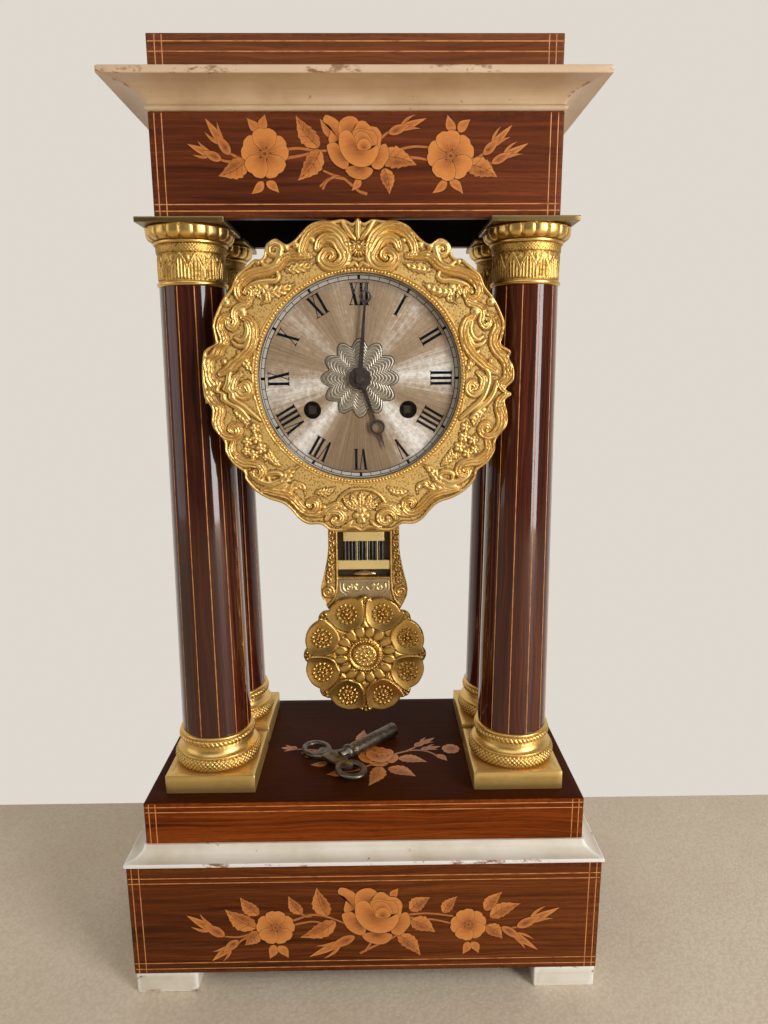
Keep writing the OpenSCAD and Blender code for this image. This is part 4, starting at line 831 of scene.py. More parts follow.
COLUMNS = [(f"{deep}_{side}", sx * COLUMN_X, sy * COLUMN_Y)
           for sy, deep in ((-1, "front"), (1, "rear")) for sx, side in ((-1, "left"), (1, "right"))]


def at_columns(shape):
    return joined([shape.moved(x, y) for name, x, y in COLUMNS])


def gilt_on_columns(kind, shape, node):
    """The same chased turning on each column, one piece each; the first stands for the node."""
    for k, (name, x, y) in enumerate(COLUMNS):
        piece(f"{name}_{kind}", "case", shape.moved(x, y), FINISH["gilt_bronze"], "gilt_bronze",
              *([node] if k == 0 else []), sharp=55)


def arc(x, z, r, degrees):
    """Points of a round stretch of a profile about a centre, at the given angles."""
    return [(x + r * math.cos(t), z + r * math.sin(t)) for t in np.radians(degrees)]


def cylinder_relief(profile, height_of):
    """A turned shape with relief on its skin: profile rows of radius and height, bored for the tie rod."""
    steps, bore = 600, 3.0
    prof = np.asarray(profile, float)
    a = angles(steps)
    lift, crest = height_of(a[None, :], prof[:, 1:2])
    r = prof[:, :1] + lift
    rings = [level_ring(row, z, a) for row, z in zip(r, prof[:, 1])]
    rings += [level_ring(bore, z, a) for z in (prof[-1, 1], prof[0, 1])]
    crest = np.concatenate([np.broadcast_to(crest, r.shape), np.full((2, steps), 0.3)])
    return lofted(rings, crest, loop=True)


def rows_between(points, count):
    """Evenly spaced rows along a profile of radius and height."""
    p = np.asarray(points, float)
    far = np.concatenate([[0], np.cumsum(np.hypot(*np.diff(p, axis=0).T))])
    t = np.linspace(0, far[-1], count)
    return np.column_stack([np.interp(t, far, p[:, 0]), np.interp(t, far, p[:, 1])])


def bulge(v, low, high):
    """1 inside a band, falling off softly at its ends."""
    return np.clip(np.minimum(v - low, high - v) / 0.5, 0, 1)


def capital_skin(a, z):
    """Chasing of a capital: lancet arches, a hatched band, and eggs under the rim."""
    arches, eggs = 13, 20
    arch_band, hatch_band, egg_band = (2.9, 15.3), (15.6, 19.1), (20.9, 27.2)
    u = (a * arches / TAU) % 1 * 2 - 1
    line = 7.6 + 6.9 * (1 - np.abs(u) ** 1.4)
    arch = np.exp(-((z - line) / 0.5) ** 2) + 0.8 * np.exp(-((z - line + 1.4) / 0.36) ** 2)
    legs = np.exp(-((np.abs(u) - 0.97) / 0.1) ** 2) * (z < 7.8) * (0.75 + 0.25 * np.cos(TAU * z / 0.9))
    bars = sum(np.exp(-((u - k) / 0.075) ** 2) for k in (-0.6, -0.2, 0.2, 0.6)) * (z < line - 1.8)
    drop = np.exp(-((np.abs(u) - 1.0) / 0.22) ** 2 - ((z - 12.6) / 1.2) ** 2)
    grain = 0.25 * np.abs(np.sin(48 * a) * np.sin(TAU * z / 1.1))
    leaf = np.maximum.reduce([arch, legs, 0.8 * bars, drop, grain + 0 * u])
    h = bulge(z, *arch_band) * 0.5 * np.clip(leaf, 0, 1)
    hatch = np.abs(np.sin(36 * a + 2.1 * z)) * np.abs(np.sin(36 * a - 2.1 * z))
    h += bulge(z, *hatch_band) * 0.34 * hatch
    v = (a * eggs / TAU) % 1 * 2 - 1
    egg = (1 - np.abs(v) ** 4) * np.clip((z - 20.9 - 1.6 * v ** 2) / 0.5, 0, 1)
    h += bulge(z, *egg_band) * 0.62 * egg
    smooth = np.maximum.reduce([bulge(z, -1, 2.7), bulge(z, 19.2, 20.9), bulge(z, 26.4, 29)])
    return h, np.clip(np.maximum(0.22 + h / 0.62, smooth * 0.95), 0, 1)


def make_capitals():
    foot = box_mm("column_capitals")[0][2]
    ring = arc(17.2 - 1.2, 1.2, 1.2, range(-80, 81, 20))
    roll = arc(16.6, 24.75, 4, range(-82, 1, 6))
    profile = np.concatenate([
        ring, rows_between([(16.1, 2.7), (16.1, 15.3)], 30), rows_between([(16.6, 15.5), (16.7, 19.2)], 11),
        [(17.2, 19.35), (17.8, 19.6), (17.95, 20.1), (17.8, 20.6), (17.3, 20.75)], roll,
        [(20.6, 25.5), (20.6, 26.5), (20.9, 26.7), (20.9, 27.2), (20.6, 27.5)]])
    gilt_on_columns("capital", cylinder_relief(profile, capital_skin).moved(z=foot), "column_capitals")


def base_skin(a, z):
    """Chasing of a column base: a roped upper roll and a hatched lower one."""
    upper, lower = bulge(z, 13.3, 17.4), bulge(z, 0.6, 7.4)
    rope = upper * 0.5 * np.abs(np.cos(27 * a + 0.8 * z))
    hatch = lower * 0.62 * np.abs(np.sin(31 * a + 1.35 * z)) * np.abs(np.sin(31 * a - 1.35 * z))
    worked = np.maximum(upper, lower)
    h = rope + hatch
    return h, np.clip(worked * (0.08 + 2.0 * h) + (1 - worked) * 0.8, 0, 1)


def make_column_bases():
    foot = box_mm("column_bases")[0][2]
    low = arc(23.1 - 4, 4, 4, range(-90, 60, 6))
    scotia = arc(23.1, 12, 3.9, range(-110, -186, -7))
    up = arc(20.4 - 2.2, 15.6, 2.2, range(-75, 71, 9))
    profile = np.concatenate([low, [(21.8, 7.6), (21.9, 8.1)], scotia, up,
                              [(19.9, 17.7), (20.1, 18.0), (20.0, 18.6), (19.4, 19.0)]])
    gilt_on_columns("column_base", cylinder_relief(profile, base_skin).moved(z=foot), "column_bases")


def make_shafts():
    lo, hi = box_mm("front_left_column_shaft")
    foot_r, head_r, lines, sunk = 18.7, 16.0, 12, 0.17
    z = np.linspace(lo[2], hi[2], 12)
    r = foot_r + (head_r - foot_r) * (z - z[0]) / (z[-1] - z[0])
    profile = list(zip(r, z))
    paths = []
    for name, x, y in COLUMNS:
        piece(f"{name}_shaft_veneer", "case", turned_shape(profile, 144).moved(x, y),
              FINISH["column_rosewood"], "column_rosewood", f"{name}_column_shaft")
        for k in range(lines):
            a = math.radians(15 + 360 / lines * k)
            paths.append([(x + (q - sunk) * math.cos(a), y + (q - sunk) * math.sin(a), h)
                          for q, h in ((r[0], z[0] + 0.3), (r[-1], z[-1] - 0.3))])
    LINES.grow("column_stringing", curves(paths), {"Radius": 0.3 * MM}, "case", LINE, "column_rosewood")


def make_plinths():
    for name, node, soft, metal_finish in (("brass_plinths", "column_plinths", 0.6, FINISH["plain_brass"]),
                                           ("brass_abaci", "capital_abaci", 0.35, DULL_SHADED_BRASS)):
        lo, hi = box_mm(node)
        half = hi[0] - COLUMN_X
        block = rect_loft(soft_box_rings(half, half, lo[2], hi[2], soft), soft, 6.0)
        piece(name, "case", at_columns(block), metal_finish, "plain_brass", node)


# Marquetry and line inlay

class Marquetry:
    """Flat flowers laid on a face; onto maps sideways, upwards and outwards to the case."""

    def __init__(self, onto):
        self.onto, self.shapes, self.level = onto, [], 0

    def top(self):
        """Height of the next piece, each a hair above the last so that no two faces coincide."""
        return 0.04 + 0.0025 * self.level

    def lay(self, outline, root, light=(0.25, 0.9), grow=0.0):
        """One piece of wood inside an outline, scorched from its rim of light to its root."""
        self.level += 1
        top = self.top()
        p = np.asarray(outline, float)
        if grow:
            side = np.roll(p, -1, 0) - np.roll(p, 1, 0)
            side /= np.linalg.norm(side, axis=1, keepdims=True) + 1e-9
            turn = 1 if np.sum(p[:, 0] * np.roll(p[:, 1], -1) - p[:, 1] * np.roll(p[:, 0], -1)) > 0 else -1
            p = p + grow * turn * np.column_stack([side[:, 1], -side[:, 0]])
        root = np.asarray(root, float)
        rings, shade = [], []
        for t, h, s in ((1.0, -0.2, 1.0), (1.0, top, 1.0), (0.72, top, 0.8), (0.4, top, 0.35),
                        (0.02, top, 0.0)):
            flat = root + (p - root) * t
            rings.append(self.onto(flat[:, 0], flat[:, 1], np.full(len(p), h)))
            shade.append(light[0] + (light[1] - light[0]) * s)
        self.shapes.append(lofted(rings, shade))

    def part(self, outline, root, light=(0.25, 0.9)):
        """A piece of wood with a dark joint round it."""
        self.lay(outline, np.mean(outline, 0), (0.0, 0.0), 0.16)
        self.lay(outline, root, light)

    def strip(self, path, width, shade, end=0.5):
        """A thin line of wood along a path, thinner at its far end."""
        self.level += 0.1
        p = smooth_path(path, 0.8)
        ahead = np.gradient(p, axis=0)
        ahead /= np.linalg.norm(ahead, axis=1, keepdims=True) + 1e-9
        side = np.column_stack([-ahead[:, 1], ahead[:, 0]])
        side = side * np.linspace(width, width * end, len(p))[:, None] / 2
        edge = np.concatenate([p + side, (p - side)[::-1]])
        n = len(p)
        rings = [self.onto(edge[:, 0], edge[:, 1], np.full(2 * n, h)) for h in (-0.2, self.top())]
        i = np.arange(n - 1)
        flat = np.stack([i, i + 1, 2 * n - 2 - i, 2 * n - 1 - i], -1)
        faces = [grid_faces(2, 2 * n, True), flat + 2 * n, flat[:, ::-1]]
        self.shapes.append(Shape(np.concatenate(rings), faces, shade))

    def leaf(self, x0, y0, x1, y1, width, teeth=6):
        root, tip = np.array([x0, y0]), np.array([x1, y1])
        long = tip - root
        side = np.array([-long[1], long[0]]) / np.hypot(*long)
        t = np.linspace(0, 1, 12 if teeth == 0 else 5 * teeth)
        swell = np.sin(np.pi * t ** 0.75) ** 0.8 * (0.35 + 0.65 * (1 - t ** 3))
        saw = 1 - 0.2 * ((t * teeth) % 1) * (t < 0.93) if teeth else 1
        bend = 0.07 * np.hypot(*long) * np.sin(np.pi * t)
        mid = root + long * t[:, None] + side * bend[:, None]
        wide = side * (width / 2 * swell * saw)[:, None]
        outline = np.concatenate([mid + wide, (mid - wide)[-2:0:-1]])
        self.part(outline, mid[len(t) // 2], (0.5, 0.85))
        if teeth:
            half = np.concatenate([mid, (mid - wide)[-2:0:-1]])
            self.lay(half, mid[len(t) // 2] - 0.4 * wide[len(t) // 2], (0.28, 0.6))
            self.strip(mid[1:-2:3], 0.3, 0.05)
            for k in np.linspace(0.2, 0.75, 4):
                i = int(k * len(t))
                j = min(i + 4, len(t) - 1)
                for s in (-1, 1):
                    end = mid[j] + s * wide[j] * 0.8
                    self.strip([mid[i], (mid[i] + end) / 2 + 0.1 * long / np.hypot(*long), end], 0.2, 0.08)

    def petal(self, x, y, r, heading, spread, notch=0.12, light=(0.38, 0.95)):
        """A broad petal from a flower's middle, rounded and nicked at its rim."""
        a = np.linspace(-1, 1, 17)
        edge = r * (1 - 0.42 * np.abs(a) ** 3 - notch * np.exp(-(a / 0.16) ** 2)) * (1 + 0.03 * np.cos(9 * a))
        turn = heading + spread * a
        rim = np.column_stack([x + edge * np.cos(turn), y + edge * np.sin(turn)])
        heart = np.array([[x, y]])
        self.part(np.concatenate([rim, heart + 0.06 * (rim[-1:] - heart), heart + 0.06 * (rim[:1] - heart)]),
                  (x, y), light)
        for k in (-0.45, -0.15, 0.2, 0.5):
            way = np.array([math.cos(heading + spread * k), math.sin(heading + spread * k)])
            self.strip([heart[0] + way * r * 0.18, heart[0] + way * r * 0.5], 0.2, 0.12, 0.3)

    def flower(self, x, y, r, turn=0.3):
        for k in (0, 2, 4, 1, 3):
            self.petal(x, y, r, turn + k * TAU / 5, 0.82)
        a = angles(12)
        ring = np.column_stack([np.cos(a), np.sin(a)])
        self.part((x, y) + 0.15 * r * ring, (x, y), (0.1, 0.6))
        for k in range(5):
            spot = (x + 0.23 * r * math.cos(k * TAU / 5), y + 0.23 * r * math.sin(k * TAU / 5))
            self.lay(spot + 0.035 * r * ring, spot, (0.0, 0.1))

    def bud(self, x0, y0, x1, y1, width):
        """A closed bud: a pointed flower in a round cup with two sharp sepals."""
        root, tip = np.array([x0, y0]), np.array([x1, y1])
        long = tip - root
        side = np.array([-long[1], long[0]]) / np.hypot(*long)

        def almond(start, end, wide, swell=0.6):
            t = np.linspace(0, 1, 14)
            mid = root + long * (start + (end - start) * t)[:, None]
            edge = side * (0.5 * wide * width * np.sin(np.pi * t ** swell) ** 0.9)[:, None]
            return np.concatenate([mid + edge, (mid - edge)[-2:0:-1]]), mid[4]

        self.part(*almond(0.3, 1.0, 0.62), (0.3, 0.9))
        for s in (-1, 1):
            start = root + 0.34 * long + s * side * 0.22 * width
            self.leaf(*start, *(root + 0.78 * long + s * side * 0.66 * width), width * 0.26, 0)
        self.part(*almond(0.0, 0.56, 0.8, 0.75), (0.2, 0.75))

    def rose(self, x, y, r, turn=0.0):
        spin = np.array([[math.cos(turn), math.sin(turn)], [-math.sin(turn), math.cos(turn)]])
        for outline, root, light in ROSE_PETALS:
            p = smooth_path(np.array(outline) @ spin * r, 0.09 * r, closed=True) + (x, y)
            self.part(p, np.array(root) @ spin * r + (x, y), light)

    def finish(self, name, slot):
        piece(name, "case", joined(self.shapes), INLAY, slot)


# Petals of a rose of radius 1, back to front: outline, root and shades from root to rim
ROSE_PETALS = [
    ([(-1.19, 1.1), (-0.9, 1.03), (-0.66, 0.81), (-0.66, 0.38), (-0.97, 0.16), (-1.08, 0.28), (-1.0, 0.7),
      (-1.25, 0.88)],
     (-0.7, 0.3), (0.3, 0.9)),
    ([(0.7, 0.0), (1.0, 0.14), (1.12, -0.25), (0.97, -0.53), (0.78, -0.72), (0.5, -0.64), (0.5, -0.3)],
     (0.5, -0.2), (0.2, 0.85)),
    ([(-0.47, -0.66), (0.06, -0.6), (0.5, -0.7), (0.47, -0.88), (0.22, -1.06), (-0.12, -1.03), (-0.38, -0.9)],
     (0.0, -0.6), (0.15, 0.8)),
    ([(-1.09, 0.14), (-1.14, 0.0), (-1.0, -0.38), (-0.75, -0.62), (-0.44, -0.7), (-0.36, -0.38),
      (-0.6, -0.06), (-0.82, 0.18)],
     (-0.45, -0.25), (0.15, 0.85)),
    ([(0.0, 0.88), (0.25, 0.9), (0.44, 0.73), (0.66, 0.7), (0.84, 0.47), (0.82, 0.2), (0.72, -0.1),
      (0.3, 0.3), (-0.2, 0.6)],
     (0.3, 0.4), (0.3, 0.9)),
    ([(-0.7, 0.8), (-0.5, 1.02), (-0.19, 1.06), (0.02, 0.9), (-0.16, 0.7), (-0.12, 0.3), (-0.4, 0.2),
      (-0.68, 0.4)],
     (-0.25, 0.5), (0.25, 0.9)),
    ([(-0.18, 0.56), (0.06, 0.66), (0.3, 0.6), (0.56, 0.56), (0.7, 0.3), (0.6, 0.0), (0.1, 0.1),
      (-0.14, 0.3)],
     (0.2, 0.25), (0.15, 0.85)),
    ([(-0.12, 0.42), (0.1, 0.58), (0.34, 0.48), (0.5, 0.24), (0.5, 0.0), (0.1, -0.1), (-0.12, 0.1)],
     (0.2, 0.15), (0.1, 0.85)),
    ([(-0.66, 0.5), (-0.7, 0.1), (-0.56, -0.25), (-0.28, -0.52), (0.1, -0.64), (0.5, -0.52), (0.74, -0.12),
      (0.68, 0.1), (0.46, -0.04), (0.2, -0.08), (-0.06, 0.0), (-0.12, 0.3), (-0.36, 0.6)],
     (-0.05, 0.0), (0.3, 0.95)),
    ([(-0.04, 0.02), (0.0, 0.22), (0.2, 0.33), (0.4, 0.24), (0.47, 0.06), (0.38, -0.04), (0.1, -0.06)],
     (0.2, 0.0), (0.25, 0.95)),
]


def on_front(y):
    return lambda u, v, h: np.column_stack([u, y - h, v])


def on_top(z):
    return lambda u, v, h: np.column_stack([u, v, z + h])


def inlay_spray(name, onto, stems, leaves, small, buds, flowers, rose):
    """A spray of flowers. Leaves and buds are root, tip and width; flowers are place, radius and turn."""
    m = Marquetry(onto)
    for path in stems:
        m.strip(path, 1.7, 0.02, 0.7)
        m.strip(path, 1.25, 0.55, 0.7)
    for x0, y0, x1, y1, width in small:
        m.leaf(x0, y0, x1 + 0.12 * (x1 - x0), y1 + 0.12 * (y1 - y0), 1.4 * width, 0)
    for x0, y0, x1, y1, width in leaves:
        m.leaf(x0, y0, x1, y1, 1.22 * width)
    for bud in buds:
        m.bud(*bud)
    for flower in flowers:
        m.flower(*flower)
    m.rose(*rose)
    m.finish(name, "rosewood_veneer")


def make_marquetry():
    inlay_spray(
        "frieze_marquetry", on_front(box_mm("frieze_box")[0][1]),
        [[(-53.3, 425.5), (-55.4, 428.1), (-58.4, 429.8), (-60.6, 431.9)],
         [(-50, 427.5), (-58.6, 426.2), (-63.1, 427.2), (-66.1, 428.4)],
         [(-33, 431.4), (-26.3, 431.8), (-18.6, 430.8), (-11, 431.1)],
         [(-33, 427.6), (-24.8, 429.0), (-18.6, 430.8)],
         [(9.0, 429.7), (18.1, 431.1), (25.8, 432.5), (33.5, 432.2)],
         [(24.2, 427.9), (28.9, 427.5), (32.5, 426.8)],
         [(9.5, 435.0), (13.5, 438.1), (16.6, 439.8)],
         [(51, 427.5), (56.6, 426.7), (62.0, 425.3), (65.8, 427.4)],
         [(53.5, 426.0), (57.3, 428.9), (60.3, 431.7)],
         [(4.4, 412.2), (1.0, 413.2), (-2.8, 416.1), (-6.6, 419.0), (-11.2, 420.4), (-15.8, 422.3)],
         [(-6.6, 419.0), (-12.8, 419.0), (-17.5, 415.4)], [(-10.4, 420.0), (-14.3, 417.6), (-16.3, 414.2)]],
        [(-50.6, 426.6, -64.2, 420.1, 8.0), (-17.7, 432.2, -27.8, 445.8, 7.3),
         (-16.8, 431.1, -27.7, 418.0, 8.0), (10.7, 428.2, 27.3, 424.6, 8.7), (12.2, 423.2, 14.7, 412.0, 5.8),
         (50.8, 425.0, 64.8, 419.3, 8.0)],
        [(-44.0, 439.3, -49.4, 444.1, 3.2), (-43.1, 439.3, -41.9, 445.4, 3.2),
         (-43.6, 417.6, -48.7, 412.9, 2.9), (-42.1, 417.6, -37.1, 413.3, 2.9),
         (44.4, 438.8, 41.7, 445.1, 3.2), (46.4, 438.8, 51.3, 443.4, 3.2), (41.3, 418.2, 35.4, 413.1, 2.9),
         (42.8, 418.2, 48.3, 412.8, 2.9), (-9.4, 436.7, -16.1, 443.5, 3.6), (1.1, 419.0, -2.4, 414.2, 2.6)],
        [(-58.4, 429.1, -69.0, 444.5, 5.5), (-62.4, 426.9, -77.7, 433.7, 4.9),
         (58.1, 428.9, 71.1, 441.6, 4.9), (62.0, 425.3, 78.7, 433.8, 4.6), (14.3, 438.1, 31.8, 444.4, 4.9)],
        [(-42.4, 429.5, 11.4), (43.0, 428.5, 11.4, 0.5)], (0.5, 431.8, 12.6))
    inlay_spray(
        "base_marquetry", on_front(box_mm("base_box")[0][1]),
        [[(-55, 39.5), (-66.4, 35.0), (-75.3, 35.1)], [(-59.2, 36.5), (-65.6, 33.3), (-68.4, 30.8)],
         [(-38.5, 44.4), (-28.7, 47.7), (-19.8, 46.1), (-9.0, 41.2)],
         [(-38.6, 41.7), (-28.8, 43.6), (-21.7, 42.4)], [(-34.0, 48.4), (-31.4, 46.7), (-28.7, 47.1)],
         [(-3.2, 23.4), (3.1, 27.0), (12.1, 31.5), (18.4, 35.5)], [(-0.5, 24.4), (3.1, 30.6), (4.0, 34)],
         [(20.0, 46.8), (33.5, 47.6), (46.9, 45.7)], [(21.0, 45.3), (35.3, 43.9), (46.1, 41.2)],
         [(62, 40.5), (73.0, 37.6), (81.9, 38.5), (87.3, 40.5)], [(70.3, 39.7), (74.9, 35.5), (78.5, 33.4)]],
        [(-58.7, 40.0, -74.5, 51.9, 9.5), (-57.0, 48.2, -66.2, 59.1, 7.0), (-57.4, 37.9, -64.9, 29.7, 6.9),
         (-34.0, 48.4, -40.7, 59.5, 6.0), (-20.5, 46.9, -25.6, 64.4, 8.6), (-16.0, 43.3, -35.3, 34.0, 8.6),
         (23.7, 49.8, 34.3, 57.4, 7.7), (24.3, 43.7, 37.2, 36.0, 8.6), (41.5, 47.9, 48.8, 57.9, 6.0),
         (17.5, 35.1, 29.4, 21.5, 7.7), (63.8, 49.1, 72.7, 60.2, 6.5), (66.5, 45.0, 82.7, 52.9, 7.7),
         (64.9, 39.8, 73.5, 31.4, 7.2)],
        [(-49.2, 29.5, -51.6, 21.8, 3.8), (-47.1, 28.8, -42.3, 22.0, 3.8), (55.2, 29.6, 52.6, 22.8, 3.4),
         (57.0, 29.6, 60.4, 23.2, 3.4), (-3.7, 56.4, -6.8, 61.5, 3.1), (14.0, 57.1, 17.2, 62.5, 3.1)],
        [(-75.3, 35.5, -95.0, 48.6, 7.2), (-68.3, 32.9, -82.9, 20.2, 6.2), (-5.8, 34.3, -30.6, 21.8, 6.9),
         (81.0, 38.5, 103.5, 50.1, 6.9), (73.0, 39.1, 92.9, 24.1, 5.8)],
        [(-48.1, 40.4, 10.8), (55.0, 40.6, 10.2, 0.6)], (5.9, 46.5, 16.2))
    inlay_spray(
        "platform_marquetry", on_top(box_mm("platform")[1][2]),
        [[(12, -15.4), (25.7, -9.2), (34.2, -9.4), (39.9, -12.7), (42.9, -17.5)],
         [(24, -10), (30, -5), (34, -1)], [(0, -14), (-12, -10), (-25, -8), (-39.4, -6.1), (-46.1, -7.5)],
         [(-8, -12), (-20, -16), (-28, -14)], [(6, -22), (-6, -30), (-16, -31)]],
        [(19.4, -17.0, 35.8, -21.9, 7.5), (13.3, -27.4, 28.4, -36.4, 8.5), (8.5, -25.8, 2.1, -44.8, 8.5),
         (-0.9, -1.3, -1.2, 15.8, 7.5), (-22.1, -21.4, -31.6, -23.4, 5.0), (-12.6, -31.2, -21.6, -33.2, 5.5)],
        [(42, -14, 47, -20, 3.4), (-30, -8, -33, -14, 3.4)],
        [(29.4, -4.4, 42.4, 5.4, 5.5), (33.1, -8.1, 45.2, -4.9, 5.0), (-41.2, -5.2, -50.9, -4.5, 5.5),
         (-25.0, -13.9, -38.3, -10.3, 6.0)],
        [(51.0, -7.9, 5.5)], (7.7, -15.1, 10.5))


def make_lines():
    """Line inlay that crosses near the edges of each face, as thin rods sunk in the veneer."""
    sunk = 0.24
    paths = []
    for node, uprights, levels in (("base_box", (122.4, 118.6), (70.8, 67.8, 19.0, 15.4)),
                                   ("frieze_box", (92.2, 88.8), (407.8, 404.9)),
                                   ("platform", (113.8, 110.4), (106.6, 103.6)),
                                   ("attic_block", (90.2, 87.0), (476.6, 472.4))):
        lo, hi = box_mm(node)
        y = lo[1] + sunk
        paths += [[(s * x, y, lo[2] + 0.6), (s * x, y, hi[2] - 0.6)] for x in uprights for s in (-1, 1)]
        paths += [[(lo[0] + 0.6, y, z), (hi[0] - 0.6, y, z)] for z in levels]
    LINES.grow("case_stringing", curves(paths), {"Radius": 0.34 * MM}, "case", LINE, "rosewood_veneer")


# Bezel: its right half, drawn in mm right of and above the middle of the dial

BEZEL_RIM = [
    (0, 72.1), (2.5, 69.6), (6.5, 71.2), (11.9, 70.6), (17.1, 70.6), (22.3, 68.8), (25.8, 65.6), (29.3, 62.2),
    (33.2, 60.4), (37.4, 63.0), (42.0, 60.6), (43.2, 55.8), (45.2, 53.8), (47.6, 54.0), (51.5, 51.0),
    (56.3, 47.0), (58.8, 41.6), (63.1, 36.4), (66.3, 30.6), (68.3, 24.9), (67.4, 18.6), (66.8, 15.7),
    (71.6, 12.2), (70.8, 9.3), (73.2, 4.7), (73.2, -1.2), (69.4, -5.3), (72.7, -7.6), (69.4, -10.7),
    (70.7, -16.6), (70.6, -22.6), (65.7, -29.3), (65.1, -34.8), (61.8, -40.3), (56.8, -44.5), (56.0, -48.3),
    (51.2, -54.0), (45.1, -57.7), (38.3, -60.1), (34.0, -63.8), (30.5, -68.0), (26.1, -70.6), (19.9, -70.8),
    (15.1, -74.0), (8.9, -74.0), (4.2, -72.6), (0, -74.8),
]

